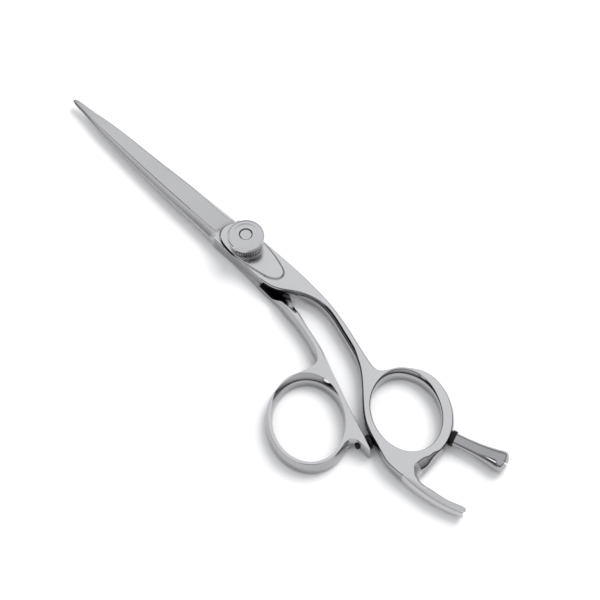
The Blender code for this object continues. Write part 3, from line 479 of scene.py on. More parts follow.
def make_half(stations, level, insets, hollow, ring, path, hole_wall, tang=(), left_path=()):
    """The skin of one half. path goes on from the last right point around the ring, and left_path goes from
    the tang back to the last left point. Their rows are X, Y, top inset and low inset."""
    last = len(stations) - 1
    knots = [row[2:] for row in stations] + [row[:2] for row in path] + [row[2:] for row in tang]
    knots += [row[:2] for row in (*reversed(tang), *left_path, *reversed(stations))]
    curve = Curve(knots)
    spans = len(knots) - 1

    steps = [max(1, math.ceil(length / SPACING)) for length in curve.lengths]
    for i in range(last):
        steps[i] = steps[spans - 1 - i] = max(steps[i], steps[spans - 1 - i])
    tang_first = last + len(path) + 1
    tang_last = tang_first + 2 * len(tang) - 1
    for i in range(max(len(tang) - 1, 0)):
        near, far = tang_first + i, tang_last - 1 - i
        steps[near] = steps[far] = max(steps[near], steps[far])
    if tang:
        steps[tang_first + len(tang) - 1] = 1

    points, places = [], []
    for span in range(spans):
        for step in range(steps[span]):
            points.append(curve.at(span, step / steps[span]))
            places.append(span + step / steps[span])
    points.append(curve.at(spans - 1, 1.0))
    places.append(float(spans))
    normals = normals_of(points)

    inset_rows = [(TOP_INSET, LOW_INSET)] + [row[2:] for row in path]
    inset_rows += [(TOP_INSET, LOW_INSET)] if not tang else [(TANG_TOP_INSETS[1], TANG_LOW_INSETS[1])]
    left_rows = [(TANG_TOP_INSETS[0], TANG_LOW_INSETS[0])] + [row[2:] for row in left_path]
    left_rows += [(TOP_INSET, LOW_INSET)]

    def between(rows, place):
        i = min(int(place), len(rows) - 2)
        share = smooth(place - i)
        return [mix(a, b, share) for a, b in zip(rows[i], rows[i + 1])]

    def wall_at(i):
        """Top inset, low inset, low height, top height and crispness of the wall at outline point i."""
        place = places[i]
        station = min(place, spans - place)
        on_left = place > spans / 2
        if station <= last:
            share = 0.0 if on_left else 1.0
            full = level(station, share)
            more_top, more_low = insets(station, share)
            heights = blade_heights(points[i][1], station)
            plate_inset = PLATE_INSET * ramp(station, BLADE_END, PIVOT_START)
            top = mix(plate_inset, TOP_INSET, smooth(full + (station - WIDEN_FROM) / WIDEN_OVER))
            low_inset = LOW_INSET * full + more_low
            low = (RIDE + hollow(station, share)) * (1 - full)
            return top + more_top, low_inset, low, heights[0 if on_left else -1], 1.0
        if tang and tang_first <= place <= tang_last:
            along = min(place - tang_first, tang_last - place) / (len(tang) - 1)
            end = smooth(along)
            side = 0 if on_left and place > (tang_first + tang_last) / 2 else 1
            return (
                TANG_TOP_INSETS[side] * mix(1, TANG_END_TOP, end),
                TANG_LOW_INSETS[side] * mix(1, TANG_END_LOW, end),
                TANG_LIFT * end,
                THICKNESS - TANG_DROP * end,
                TANG_CRISP * side,
            )
        if not tang or place < tang_first:
            soft = smooth((place - tang_first + 2) / 2) if tang else 0.0
            return *between(inset_rows, place - last), 0.0, THICKNESS, mix(1, TANG_CRISP, soft)
        return *between(left_rows, place - tang_last), 0.0, THICKNESS, smooth((place - tang_last) / 2)

    skin = Skin()
    columns = [skin.column(points[i], normals[i], *wall_at(i)) for i in range(len(points))]

    def rows_between(rights, lefts, *heights_at):
        """Rows of points from the left columns to the right: across the top, then across the underside."""
        faces = []
        for end, shares, height_at in zip((0, -1), (TOP_SHARES, LOW_SHARES), heights_at):
            rows = []
            for right, left in zip(rights, lefts):
                row = []
                for share, height in zip(shares, height_at(right)):
                    point = columns[left][end].co.lerp(columns[right][end].co, share)
                    point.z = height * MM
                    row.append(skin.mesh.verts.new(point))
                rows.append(row)
            faces.append(rows)
        return faces

    def blade_tops(i):
        return blade_heights(points[i][1], places[i])[1:-1]

    def ride_lows(i):
        place = places[i]
        return [(RIDE + hollow(place, share)) * (1 - level(place, share)) for share in LOW_SHARES]

    def tang_heights(i):
        return [wall_at(i)[3]] * len(TOP_SHARES)

    def tang_floors(i):
        return [wall_at(i)[2]] * len(LOW_SHARES)

    gate = places.index(last)
    rights = list(range(gate + 1))
    lefts = [len(points) - 1 - i for i in rights]
    tops, lows = rows_between(rights, lefts, blade_tops, ride_lows)
    skin.strip([columns[i] for i in lefts], tops, lows, [columns[i] for i in rights])
    skin.face([*columns[0], *reversed(lows[0]), *reversed(columns[-1]), *tops[0]])

    walls, tang_rows = [range(len(points))], (None, None)
    if tang:
        first, last_left = places.index(tang_first), places.index(tang_last)
        count = places.index(tang_first + len(tang) - 1) - first
        tang_rights = [first + i for i in range(count + 1)]
        tang_lefts = [last_left - i for i in range(count + 1)]
        tang_rows = rows_between(tang_rights, tang_lefts, tang_heights, tang_floors)
        ends = [columns[i] for i in tang_lefts], [columns[i] for i in tang_rights]
        skin.strip(ends[0], *tang_rows, ends[1])
        tip = [*ends[0][-1], *tang_rows[1][-1], *reversed(ends[1][-1]), *reversed(tang_rows[0][-1])]
        skin.face(tip)
        walls = [range(first + count + 1), range(last_left - count, len(points))]

    borders = []
    for end, rows, more in ((0, tops, tang_rows[0]), (-1, lows, tang_rows[1])):
        border = [columns[lefts[-1]][end], *rows[-1], columns[gate][end]]
        if more:
            border += [columns[i][end] for i in range(gate + 1, first + 1)]
            border += [*reversed(more[0]), *(columns[i][end] for i in range(last_left, lefts[-1]))]
        else:
            border += [columns[i][end] for i in range(gate + 1, lefts[-1])]
        borders.append(border)
    for span in walls:
        skin.wall([columns[i] for i in span])

    holes = []
    for i in range(RING_STEPS):
        angle = -360 * i / RING_STEPS
        point = ring_point(ring, angle, 0.0)
        ahead, behind = ring_point(ring, angle - 1, 0.0), ring_point(ring, angle + 1, 0.0)
        along = Vector(ahead) - Vector(behind)
        inward = Vector((along.y, -along.x)).normalized()
        top_inset, low_inset, crisp = hole_wall(angle)
        holes.append(skin.column(point, inward, top_inset, low_inset, 0.0, THICKNESS, crisp))
    for pair in zip([*holes[1:], holes[0]], holes):
        skin.wall(pair)
    skin.plate(borders[0], [column[0] for column in holes], True)
    skin.plate(borders[1], [column[-1] for column in holes], False)
    return skin.mesh


def hollow_shade(point):
    """How much painted shade the thumb half's hollow gets at a point: 1 in its deep part, and 0 outside it.
    """
    if not SHADE_HEIGHTS[0] < point.z < SHADE_HEIGHTS[1]:
        return 0.0
    left = LEFT_X + LEFT_SLANT * max(0.0, LEFT_BEND - point.y)
    back = BACK_Y + BACK_SLANT * max(0.0, point.x - BACK_BEND)
    across = smooth((point.x - left + LEFT_BLUR / 2) / LEFT_BLUR)
    return across * smooth((point.y - back) / BACK_BLUR) * smooth((HOLLOW_Y - point.y) / FRONT_BLUR)


def on_ridge(face, centre):
    """Whether a face is in the narrow step beside the blade's ridge, which gets a painted dark line."""
    low, high = (RIDE + share * blade_thickness(centre.y) for share in LINE_SHARES)
    return face.normal.x > LINE_LEAN and low < centre.z < high


def paint_half(mesh):
    """Chooses the finish of each face of a half that still lies outer face up, with painted shade in the
    hollow and painted dark lines.
    """
    bmesh.ops.recalc_face_normals(mesh, faces=mesh.faces)
    # painted shade for the hollow, stored per vertex
    shade = mesh.verts.layers.float.new(SHADE)
    for vertex in mesh.verts:
        vertex[shade] = hollow_shade(vertex.co / MM)
    for face in mesh.faces:
        centre = face.calc_center_median() / MM
        normal = face.normal
        near_plane = centre.z > THICKNESS - TOP_BAND or centre.z < RIDE + RIDE_BAND
        if abs(normal.z) > LEVEL and near_plane:
            finish = BRUSHED
        # a painted dark reflection line in the step beside the ridge
        elif centre.y > RIDGE_FADE and on_ridge(face, centre):
            finish = PAINTED_LINE
        elif centre.y > ROOT_Y and normal.z > GROUND_UP and normal.x > GROUND_LEAN:
            finish = GROUND
        elif centre.y > SATIN_Y:
            finish = SATIN
        # faces under the hollow get the steel that takes the painted shade
        elif normal.z < RECESS_NORMAL and RECESS_Y[0] < centre.y < RECESS_Y[1]:
            finish = SHADED_RECESS
        elif centre.y < TANG_Y and centre.x < TANG_X:
            finish = SATIN
        # a painted dark reflection line along the edges of the flat tops
        elif centre.y < HOLLOW_Y and centre.z > THICKNESS - EDGE_LINE:
            finish = PAINTED_LINE
        else:
            finish = POLISHED_SHADED
        face.material_index = finish


def new_object(name, mesh):
    """An object in the scene from a bmesh in metres, which is freed."""
    data = bpy.data.meshes.new(name)
    mesh.to_mesh(data)
    mesh.free()
    node = bpy.data.objects.new(name, data)
    bpy.context.scene.collection.objects.link(node)
    return node


def add_piece(name, mesh, materials, body, node, sharp_angle=24.0):
    """A visible piece, in place of its CAD node."""
    bmesh.ops.recalc_face_normals(mesh, faces=mesh.faces)
    piece = new_object(name, mesh)
    for material in materials:
        piece.data.materials.append(material)
    piece.data.shade_smooth()
    piece.data.set_sharp_from_angle(angle=math.radians(sharp_angle))
    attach(piece, body)
    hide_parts(node)


def join_rows(mesh, rows):
    """Faces between closed rows of vertices. A row that is one vertex over and over gives triangles."""
    for lower, upper in zip(rows, rows[1:]):
        for i in range(len(lower)):
            j = (i + 1) % len(lower)
            mesh.faces.new(list(dict.fromkeys((lower[i], lower[j], upper[j], upper[i]))))


def turned(profile, steps=ROUND_STEPS, radius_at=None):
    """A turned solid from (radius, height) pairs. A profile that stays off the axis closes on itself."""
    mesh = bmesh.new()
    rings = []
    for radius, height in profile:
        if radius == 0:
            rings.append([mesh.verts.new((0, 0, height * MM))] * steps)
            continue
        ring = []
        for i in range(steps):
            turn = 2 * math.pi * i / steps
            r = radius_at(radius, turn) if radius_at else radius
            ring.append(mesh.verts.new((r * MM * math.cos(turn), r * MM * math.sin(turn), height * MM)))
        rings.append(ring)
    if profile[0][0] > 0 and profile[-1][0] > 0:
        rings.append(rings[0])
    join_rows(mesh, rings)
    return mesh


def rounded(start, end, steps=5, outward=True):
    """A quarter oval from start to end, both (radius, height). outward leaves start along the height."""
    points = []
    for i in range(1, steps):
        turn = math.pi / 2 * i / steps
        across, up = (1 - math.cos(turn), math.sin(turn)) if outward else (math.sin(turn), 1 - math.cos(turn))
        points.append((mix(start[0], end[0], across), mix(start[1], end[1], up)))
    return [start, *points, end]


def rim(radius, height, size):
    """A rounded edge, from a level face to the wall at this radius. A negative size is a hole's top edge."""
    return rounded((radius - size, height), (radius, height + size), outward=False)


def domed(radius, low, high, steps, power=1.0):
    """(radius, height) from the rim of a domed end to its middle."""
    points = []
    for i in range(steps + 1):
        turn = math.pi / 2 * i / steps
        points.append((radius * math.cos(turn) if i < steps else 0, mix(low, high, math.sin(turn) ** power)))
    return points


def carve(mesh, cutter, operation="DIFFERENCE"):
    """The result of a Boolean between two bmeshes, as a new bmesh."""
    objects = []
    for name, source in (("body", mesh), ("cutter", cutter)):
        bmesh.ops.recalc_face_normals(source, faces=source.faces)
        objects.append(new_object(name, source))
    modifier = objects[0].modifiers.new("carve", "BOOLEAN")
    modifier.operation = operation
    modifier.object = objects[1]
    modifier.solver = "EXACT"
    evaluated = objects[0].evaluated_get(bpy.context.evaluated_depsgraph_get())
    result = bmesh.new()
    result.from_mesh(evaluated.to_mesh())
    evaluated.to_mesh_clear()
    for node in objects:
        data = node.data
        bpy.data.objects.remove(node)
        bpy.data.meshes.remove(data)
    return result


def keep_between(vertex, flats):
    """Keeps a vertex within this distance of the YZ plane."""
    vertex.co.x = min(max(vertex.co.x, -flats * MM), flats * MM)


def cylinder(radius, low, high, steps=ROUND_STEPS, flats=None):
    """A plain bore or pin, with two flats this far from its axis if they are given."""
    mesh = turned([(0, low), (radius, low), (radius, high), (0, high)], steps)
    for vertex in mesh.verts if flats else ():
        keep_between(vertex, flats)
    return mesh


def moved(mesh, place):
    mesh.transform(place)
    return mesh


def lying(x, y, turn):
    """Places a turned piece so that its axis lies level and points this way, in degrees from +X."""
    place = Matrix.Translation((x * MM, y * MM, REST_HEIGHT * MM))
    return place @ Matrix.Rotation(math.radians(turn), 4, "Z") @ Matrix.Rotation(math.pi / 2, 4, "Y")


def boss_mesh():
    """The raised oval on the finger half that the dial stands on, with a soft step around it."""
    levels = [(THICKNESS - BOSS_SINK, BOSS_FOOT)]
    for i in range(BOSS_LEVELS + 1):
        share = i / BOSS_LEVELS
        height = mix(THICKNESS - FOOT_SINK, BOSS_TOP, smooth(share))
        levels.append((height, mix(BOSS_FOOT, BOSS_EDGE, share)))
    outline = closed_curve(BOSS_OUTLINE, BOSS_STEPS)
    mesh = bmesh.new()
    rows = []
    for height, outset in levels:
        row = []
        for point, normal in outline:
            x, y = (point + normal * outset) * MM
            row.append(mesh.verts.new((x, y, height * MM)))
        rows.append(row)
    join_rows(mesh, rows)
    mesh.faces.new(rows[0])
    mesh.faces.new(rows[-1])
    mesh.faces.ensure_lookup_table()
    mesh.faces[-1].material_index = BRUSHED
    return mesh


# Materials


def new_material(name, colour, roughness, metallic=1.0):
    """A Principled material with its node tree, ready for detail."""
    material = bpy.data.materials.new(name)
    material.use_nodes = True
    shader = material.node_tree.nodes["Principled BSDF"]
    shader.inputs["Base Color"].default_value = (*colour, 1)
    shader.inputs["Roughness"].default_value = roughness
    shader.inputs["Metallic"].default_value = metallic
    return material, shader


def add_node(tree, kind, inputs=None, **settings):
    """A new shader node. Each input gets a value, or a link from another node's output."""
    node = tree.nodes.new("ShaderNode" + kind)
    for name, value in settings.items():
        setattr(node, name, value)
    for name, value in (inputs or {}).items():
        if isinstance(value, bpy.types.NodeSocket):
            tree.links.new(value, node.inputs[name])
        else:
            node.inputs[name].default_value = value
    return node


def noise(tree, scale, stretch=(1, 1, 1), detail=3.0):
    """Noise in the piece's own space, in which scale is per metre and stretch squeezes it along an axis."""
    place = add_node(tree, "TexCoord").outputs["Object"]
    mapping = add_node(tree, "Mapping", {"Vector": place, "Scale": stretch})
    inputs = {"Vector": mapping.outputs["Vector"], "Scale": scale, "Detail": detail}
    return add_node(tree, "TexNoise", inputs).outputs["Fac"]


def spread(tree, value, start, end, low, high, curve="LINEAR"):
    """Maps start to end onto low to high."""
    inputs = {"Value": value, "From Min": start, "From Max": end, "To Min": low, "To Max": high}
    return add_node(tree, "MapRange", inputs, interpolation_type=curve).outputs["Result"]


def tint(tree, value, first, second):
    """Maps a 0 to 1 noise onto a range of colour."""
    node = add_node(tree, "ValToRGB", {"Fac": value})
    for element, position, colour in zip(node.color_ramp.elements, NOISE_RANGE, (first, second)):
        element.position = position
        element.color = (*colour, 1)
    return node.outputs["Color"]


def grained(name, dark, light, rough, cloud, grain, depth, metallic=1.0, fine_gloss=True):
    """A material whose tone follows a coarse noise, its bump a fine one, and its gloss either."""
    material, shader = new_material(name, light, rough[0], metallic)
    tree = material.node_tree
    coarse, fine = noise(tree, *cloud), noise(tree, *grain)
    tree.links.new(tint(tree, coarse, dark, light), shader.inputs["Base Color"])
    gloss = spread(tree, fine if fine_gloss else coarse, *NOISE_RANGE, *rough)
    tree.links.new(gloss, shader.inputs["Roughness"])
    height = add_node(tree, "Bump", {"Height": fine, "Distance": depth})
    tree.links.new(height.outputs["Normal"], shader.inputs["Normal"])
    return material


def steel(name):
    """Steel whose tone, gloss and fine scratches vary over the surface."""
    dark, light, rough, scale, stretch, depth = STEELS[name]
    return grained(name + "_steel", dark, light, rough, (55, (1, 1, 1), 4), (scale, stretch, 6), depth)


def shade_steel(material):
    """Paints shade onto a steel: its colour turns into the painted shade colour where the mesh's shade
    attribute is 1.
    """
    tree = material.node_tree
    colour = tree.nodes["Principled BSDF"].inputs["Base Color"]
    shade = add_node(tree, "Attribute", attribute_name=SHADE)
    blend = add_node(tree, "Mix", data_type="RGBA")
    first, second = (socket for socket in blend.inputs if socket.type == "RGBA")
    second.default_value = (*SHADED, 1)
    tree.links.new(colour.links[0].from_socket, first)
    tree.links.new(shade.outputs["Fac"], blend.inputs["Factor"])
    result = next(socket for socket in blend.outputs if socket.type == "RGBA")
    tree.links.new(result, colour)


def rubber_material(name, colour, rough):
    lighter = [channel * 1.8 for channel in colour]
    material = grained(name, colour, lighter, rough, (300,), (9000, (1, 1, 1), 2), 1e-5, 0.0, False)
    material.node_tree.nodes["Principled BSDF"].inputs["Specular IOR Level"].default_value = 0.2
    return material


def plain_material(name, dark, light, rough, metallic=1.0):
    """For the small inner pieces: turned or pressed, with a faint grain."""
    return grained(name, dark, light, rough, (700,), (6000, (1, 1, 4), 2), 6e-6, metallic)


# Pieces


def make_finger_half(materials):
    path = [
        (-2.25, -51.2, 0.6, 0.5), (-2.2, -52.8, 0.6, 0.5), (-1.1, -54.2, 0.6, 0.5),
        *ring_arc(FINGER_RING, 52, -92), (-10.2, -81.5, 1.5, 0.6), (-13.0, -81.6, 2.4, 0.9),
        (-15.5, -81.35, 2.4, 1.1), (-16.9, -81.8, 1.4, 1.1),
    ]
    left_path = [
        (-20.6, -77.5, 0.5, 1.4), (-20.3, -73.0, 0.35, 1.2), (-19.3, -69.8, 0.4, 0.6),
        (-18.3, -66.7, 0.5, 0.5), (-16.9, -62.8, 0.6, 0.5), (-14.5, -59.1, 0.6, 0.5),
        (-11.9, -56.2, 0.6, 0.5), (-7.9, -52.0, 0.6, 0.5),
    ]

    def hole_wall(angle):
        """Top inset, low inset and crispness of the hole's wall. The bevel is widest at 35 degrees."""
        return 0.4 + 0.9 * bump(angle, 35, 70), 0.45, 1.0

    shape = (FINGER_STATIONS, finger_level, finger_insets, no_hollow, FINGER_RING)
    mesh = make_half(*shape, path, hole_wall, TANG_STATIONS, left_path)
    paint_half(mesh)
    mesh = carve(mesh, boss_mesh(), "UNION")
    along_rest = lying(*REST_FROM, REST_TURN)
    cutters = (
        cylinder(SHANK_RADIUS + CLEARANCE, RIDE - 1, BOSS_TOP + 1, flats=FLAT_AT + CLEARANCE),
        cylinder(WASHER_OUTER + 0.15, RIDE - 1, RIDE + WASHER_THICKNESS + 0.02),
        moved(cylinder(REST_SEAT_RADIUS, 0.0, 3.0), along_rest),
        moved(cylinder(STUD_RADIUS + CLEARANCE, -STUD_LENGTH - 0.15, 1.0, BORE_STEPS), along_rest),
    )
    for cutter in cutters:
        mesh = carve(mesh, cutter)
    add_piece("finger_half", mesh, materials, "finger_half", "finger_blade")


def make_thumb_half(materials):
    path = [
        (10.95, -38.0, 0.5, 0.6), (12.1, -39.2, 0.5, 0.6), (13.8, -39.45, 0.5, 0.6),
        (16.3, -38.75, 0.5, 0.6), *ring_arc(THUMB_RING, 84, -100), (22.6, -62.75, 0.6, 0.8),
        (21.75, -63.4, 0.8, 0.5), (21.55, -64.7, 0.9, 0.4), (21.5, -66.4, 0.8, 0.4),
        (21.25, -67.9, 0.4, 0.4), (20.75, -68.25, 0.4, 0.4), (20.2, -67.5, 0.4, 0.4),
        (19.25, -65.4, 0.5, 0.5), (17.6, -61.4, 0.5, 0.6), (15.6, -55.8, 0.5, 0.6),
        (12.6, -48.8, 0.5, 0.6), (10.3, -43.1, 0.5, 0.6),
    ]

    def hole_wall(angle):
        """The same. The bevel is on the underside, which is the upper side in place."""
        return 0.45, 0.4 + 1.5 * bump(angle, 128, 72) ** 0.6, 1.0

    mesh = make_half(THUMB_STATIONS, thumb_level, thumb_insets, thumb_hollow, THUMB_RING, path, hole_wall)
    paint_half(mesh)
    mesh.transform(Matrix.Translation((0, 0, THICKNESS * MM)) @ Matrix.Rotation(math.pi, 4, "Y"))
    stem_hole = cylinder(BUMPER_STEM + CLEARANCE, -2 * SPUR_WIDTH, SPUR_WIDTH, BORE_STEPS)
    cutters = (
        cylinder(BUSH_OUTER + BUSH_GAP, -1, RIDE + 1),
        cylinder(HEAD_RADIUS + HEAD_GAP, -1, HEAD_TOP + 0.05),
        moved(stem_hole, lying(*BUMPER_AT, BUMPER_TURN)),
    )
    for cutter in cutters:
        mesh = carve(mesh, cutter)
    add_piece("thumb_half", mesh, materials, "thumb_half", "thumb_blade")


def make_screw(material):
    shank_top = BOSS_TOP + 0.5
    profile = [
        (0, 0),
        (HEAD_RADIUS - 0.25, 0),
        *rim(HEAD_RADIUS, 0, 0.15),
        (HEAD_RADIUS, HEAD_TOP - 0.05),
        (HEAD_RADIUS - 0.05, HEAD_TOP),
        (SHANK_RADIUS, HEAD_TOP),
        (SHANK_RADIUS, RIDE),
        (SHANK_RADIUS, shank_top),
        (THREAD_RADIUS, shank_top),
        (THREAD_RADIUS, SCREW_TOP),
        (LOCK_SHANK + CLEARANCE, SCREW_TOP),
        (LOCK_SHANK + CLEARANCE, LOCK_FLOOR),
        (0, LOCK_FLOOR),
    ]
    mesh = turned(profile)
    for vertex in mesh.verts:
        in_keyed_part = vertex.co.z > (RIDE - 0.01) * MM
        if in_keyed_part and math.hypot(vertex.co.x, vertex.co.y) > (LOCK_SHANK + THREAD_RADIUS) / 2 * MM:
            keep_between(vertex, FLAT_AT)
    add_piece("screw", mesh, [material], "finger_half", "pivot_screw")


def make_dial(material, knurled):
    """The ribbed dial, with painted shade in its grooves, and the screw that locks it."""
    steps = DIAL_RIBS * 4
    depths = (0.0, 0.55, 1.0, 0.55)

    def ribbed(radius, turn):
        depth = depths[round(turn / (2 * math.pi) * steps) % 4]
        return radius - RIB_DEPTH * depth if abs(radius - DIAL_RADIUS) < 0.11 else radius

    cap_low, cap_high = DIAL_TOP - 1.7, DIAL_TOP - 1.0
    lip = LOCK_RADIUS + 0.12
    dome = []
    for i in range(9):
        share = i / 8
        radius = mix(CAP_RADIUS - CAP_ROUND, lip + 0.3, share)
        dome.append((radius, mix(DIAL_TOP - CAP_FALL, DIAL_TOP, math.sin(math.pi / 2 * share))))
    profile = [
        (POCKET_RADIUS, DIAL_BASE + 0.1),
        (POCKET_RADIUS + 0.1, DIAL_BASE),
        (DIAL_RADIUS - 0.3, DIAL_BASE),
        (DIAL_RADIUS - 0.1, DIAL_BASE + 0.18),
        (DIAL_RADIUS, DIAL_BASE + 0.35),
        (DIAL_RADIUS, cap_low - 0.25),
        (DIAL_RADIUS - 0.1, cap_low - 0.12),
        (DIAL_RADIUS - 0.28, cap_low - 0.08),
        (DIAL_RADIUS - 0.28, cap_low),
        *rim(CAP_RADIUS, cap_low, 0.15),
        *rounded((CAP_RADIUS, cap_high), (CAP_RADIUS - CAP_ROUND, DIAL_TOP - CAP_FALL), steps=10),
        *dome[1:],
        *rim(lip, DIAL_TOP, -0.15),
        (lip, DIAL_TOP - RECESS_DEPTH),
        (DIAL_BORE, DIAL_TOP - RECESS_DEPTH),
        (DIAL_BORE, POCKET_TOP),
        (POCKET_RADIUS, POCKET_TOP),
    ]
    mesh = turned(profile, steps, ribbed)
    # the faces in the rib grooves get the painted shade
    for face in mesh.faces:
        centre = face.calc_center_median() / MM
        on_rim = POCKET_RADIUS + 0.05 < math.hypot(centre.x, centre.y) < DIAL_RADIUS
        place = math.atan2(centre.y, centre.x) / (2 * math.pi) % 1 * steps
        in_shaded_groove = int(place) % 4 in (1, 2)
        face.material_index = int(on_rim and in_shaded_groove and DIAL_BASE + 0.05 < centre.z < cap_low + NEAR)
    add_piece("dial", mesh, [material, knurled], "dial", "tension_dial", 35)

    head, foot = DIAL_TOP - RECESS_DEPTH + 0.02, LOCK_FLOOR + 0.15
    crown = domed(LOCK_RADIUS, DIAL_TOP - 0.45, DIAL_TOP + 0.08, 8, 0.8)
    mesh = turned([(0, foot), (LOCK_SHANK, foot), (LOCK_SHANK, head), (LOCK_RADIUS, head), *crown])
    add_piece("dial_lock", mesh, [material], "finger_half", "lock_screw", 35)


def make_finger_rest(material, slot_shade, rubber):
    along_rest = lying(*REST_FROM, REST_TURN)
    washer_radius, washer_thickness = REST_WASHER
    start = washer_thickness + 2 * STACK_GAP
    flare = [(start + share * REST_LENGTH, radius) for share, radius in REST_PROFILE]
    end = start + REST_LENGTH
    profile = [(0, -STUD_LENGTH), (STUD_RADIUS, -STUD_LENGTH), (STUD_RADIUS, start)]
    profile += [(radius, height) for height, radius in Curve(flare).points(6)]
    dome_top = end + REST_DOME
    slot_floor = dome_top - REST_SLOT_DEPTH
    mesh = turned([*profile, *domed(*profile[-1], dome_top, 16)[1:]])
    slot = bmesh.new()
    bmesh.ops.create_cube(slot, size=1)
    slot.transform(Matrix.Diagonal((REST_SLOT_WIDTH * MM, SLOT_CUTTER[0] * MM, SLOT_CUTTER[1] * MM, 1)))
    slot.transform(Matrix.Rotation(math.radians(REST_SLOT_TURN), 4, "Z"))
    slot.transform(Matrix.Translation((0, 0, (slot_floor + SLOT_CUTTER[1] / 2) * MM)))
    mesh = carve(mesh, slot)
    slot_across = Matrix.Rotation(math.radians(REST_SLOT_TURN), 3, "Z") @ Vector((1, 0, 0))
    # the faces inside the slot get the painted shade
    for face in mesh.faces:
        centre = face.calc_center_median() / MM
        in_slot = centre.z > slot_floor - NEAR and abs(centre.dot(slot_across)) < REST_SLOT_WIDTH / 2 + NEAR
        is_slot = abs(face.normal.dot(slot_across)) > 0.99 or centre.z < slot_floor + NEAR
        face.material_index = int(in_slot and is_slot)
    mesh = moved(mesh, along_rest)
    add_piece("rest_post", mesh, [material, slot_shade], "rest", "finger_rest", 30)

    low = STACK_GAP
    high = low + washer_thickness
    inner = STUD_RADIUS + CLEARANCE
    profile = [
        (inner, low),
        *rim(washer_radius, low, 0.35),
        *rounded((washer_radius, high - 0.35), (washer_radius - 0.35, high)),
        (inner, high),
    ]
    mesh = moved(turned(profile), along_rest)
    add_piece("rest_washer", mesh, [rubber], "finger_half", "finger_rest_washer", 40)


def make_bumper(rubber):
    radius, thickness = BUMPER_HEAD
    back = -SPUR_WIDTH - PLUG_PROUD
    profile = [
        (0, back),
        *rim(BUMPER_STEM, back, 0.3),
        (BUMPER_STEM, BUMPER_FOOT),
        (radius - 0.2, BUMPER_FOOT),
        *rim(radius, BUMPER_FOOT, 0.12),
        *rounded((radius, thickness - 0.5), (radius - 0.5, thickness)),
        (0, thickness),
    ]
    mesh = moved(turned(profile), lying(*BUMPER_AT, BUMPER_TURN))
    add_piece("bumper_pad", mesh, [rubber], "thumb_half", "bumper", 40)


def repaint(nodes, names, material):
    """Gives CAD nodes that stay a better material."""
    for name in names:
        node = nodes[name]
        node.data.materials.clear()
        node.data.materials.append(material)


# Studio


def direction(azimuth, elevation):
    """Unit vector from the object towards a viewer or a light."""
    turn, rise = math.radians(azimuth), math.radians(elevation)
    return Vector((math.sin(turn) * math.cos(rise), -math.cos(turn) * math.cos(rise), math.sin(rise)))


def aim(node, place, target):
    node.location = place
    node.rotation_euler = (place - target).to_track_quat("Z", "Y").to_euler()
    bpy.context.scene.collection.objects.link(node)


def make_camera():
    data = bpy.data.cameras.new("camera")
    data.lens = LENS
    data.sensor_width = SENSOR
    data.clip_start = 0.01
    camera = bpy.data.objects.new("camera", data)
    target = Vector(TARGET) * MM
    aim(camera, target + direction(AZIMUTH, ELEVATION) * DISTANCE * MM, target)
    bpy.context.scene.camera = camera


def make_light():
    """The key light, which reflections don't show."""
    data = bpy.data.lights.new("key", "AREA")
    data.shape = "DISK"
    data.size = KEY_SIZE
    data.energy = KEY_POWER
    light = bpy.data.objects.new("key", data)
    light.visible_glossy = False
    target = Vector(TARGET) * MM
    aim(light, target + direction(*KEY_DIRECTION) * KEY_DISTANCE, target)


def make_floor():
    mesh = bmesh.new()
    half = FLOOR_SIZE / 2 * MM
    corners = ((-half, -half), (half, -half), (half, half), (-half, half))
    mesh.faces.new([mesh.verts.new((x, y, -FLOOR_DROP * MM)) for x, y in corners])
    floor = new_object("floor", mesh)
    material, shader = new_material("floor", (0.9, 0.9, 0.9), 0.7, 0.0)
    tree = material.node_tree
    cloud = noise(tree, 6)
    tree.links.new(tint(tree, cloud, (0.9, 0.9, 0.9), (0.92, 0.92, 0.92)), shader.inputs["Base Color"])
    shader.inputs["Specular IOR Level"].default_value = 0.0
    floor.data.materials.append(material)


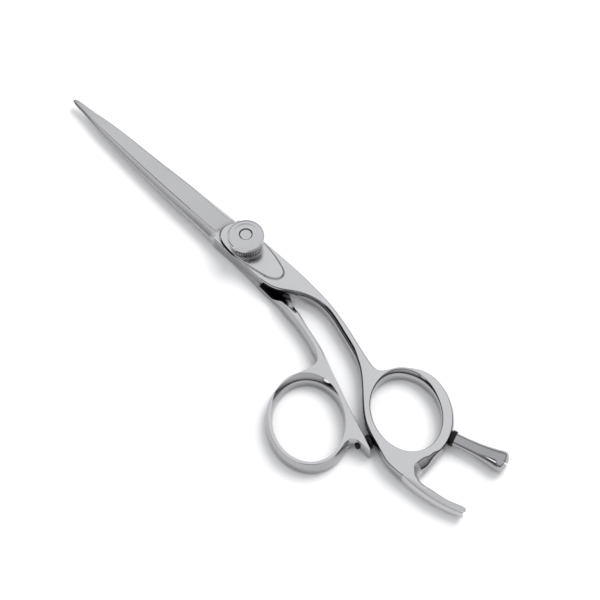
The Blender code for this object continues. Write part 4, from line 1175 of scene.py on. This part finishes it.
def make_world():
    """A sky that is bright overhead, with a dark near horizon, a dark corner and a small bright window."""
    world = bpy.data.worlds.new("studio")
    bpy.context.scene.world = world
    world.use_nodes = True
    tree = world.node_tree
    place = add_node(tree, "TexCoord").outputs["Generated"]

    def along(vector):
        return add_node(tree, "VectorMath", {0: place, 1: vector}, operation="DOT_PRODUCT").outputs["Value"]

    def towards(azimuth, elevation):
        return along(tuple(direction(azimuth, elevation)))

    def step(value, *ranges):
        return spread(tree, value, *ranges, "SMOOTHSTEP")

    def combine(operation, first, second):
        return add_node(tree, "Math", {0: first, 1: second}, operation=operation).outputs[0]

    up = along((0, 0, 1))
    sky = step(up, *SKY_EDGE, *SKY_STRENGTHS)
    corner = step(towards(*CORNER_DIRECTION), *CORNER_EDGE, 1.0, CORNER_STRENGTH)
    low_down = step(up, *LOW_EDGE, 1.0, 0.0)
    near_side = step(towards(AZIMUTH, 0), *NEAR_EDGE, 0.0, 1.0)
    horizon = step(combine("MULTIPLY", low_down, near_side), 0.0, 1.0, 1.0, HORIZON_STRENGTH)
    window = step(towards(*WINDOW_DIRECTION), *WINDOW_EDGE, 0.0, WINDOW_STRENGTH)
    strength = combine("MULTIPLY", combine("MULTIPLY", sky, corner), horizon)
    strength = combine("ADD", strength, window)
    tree.links.new(strength, tree.nodes["Background"].inputs["Strength"])
    tree.nodes["Background"].inputs["Color"].default_value = SKY_COLOUR


def main():
    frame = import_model()

    steels = {name: steel(name) for name in STEELS}
    # paints shade onto the hollow's steel
    shade_steel(steels["shaded_recess"])
    rubber = rubber_material("black_rubber", (0.003, 0.003, 0.0033), (0.3, 0.4))
    glossy_rubber = rubber_material("glossy_rubber", (0.003, 0.003, 0.0033), (0.1, 0.16))
    spring = plain_material("spring_steel", (0.4, 0.4, 0.42), (0.5, 0.5, 0.52), (0.25, 0.4))
    bronze = plain_material("bronze", (0.55, 0.36, 0.16), (0.68, 0.47, 0.23), (0.28, 0.42))
    plastic = plain_material("slippery_plastic", (0.8, 0.8, 0.77), (0.87, 0.87, 0.84), (0.4, 0.55), 0.0)

    finishes = [steels[name] for name in FINISHES]
    make_finger_half(finishes)
    make_thumb_half(finishes)
    make_screw(steels["machined"])
    make_dial(steels["machined"], steels["knurled"])
    make_finger_rest(steels["polished"], steels["knurled"], rubber)
    make_bumper(glossy_rubber)
    repaint(frame["nodes"], ["pivot_bush"], bronze)
    repaint(frame["nodes"], ["blade_washer", "dial_washer"], plastic)
    repaint(frame["nodes"], ["click_washer", "spring_washer_lower", "spring_washer_upper"], spring)

    make_floor()
    make_camera()
    make_world()
    make_light()
    bpy.context.scene.view_settings.view_transform = "Standard"


main()
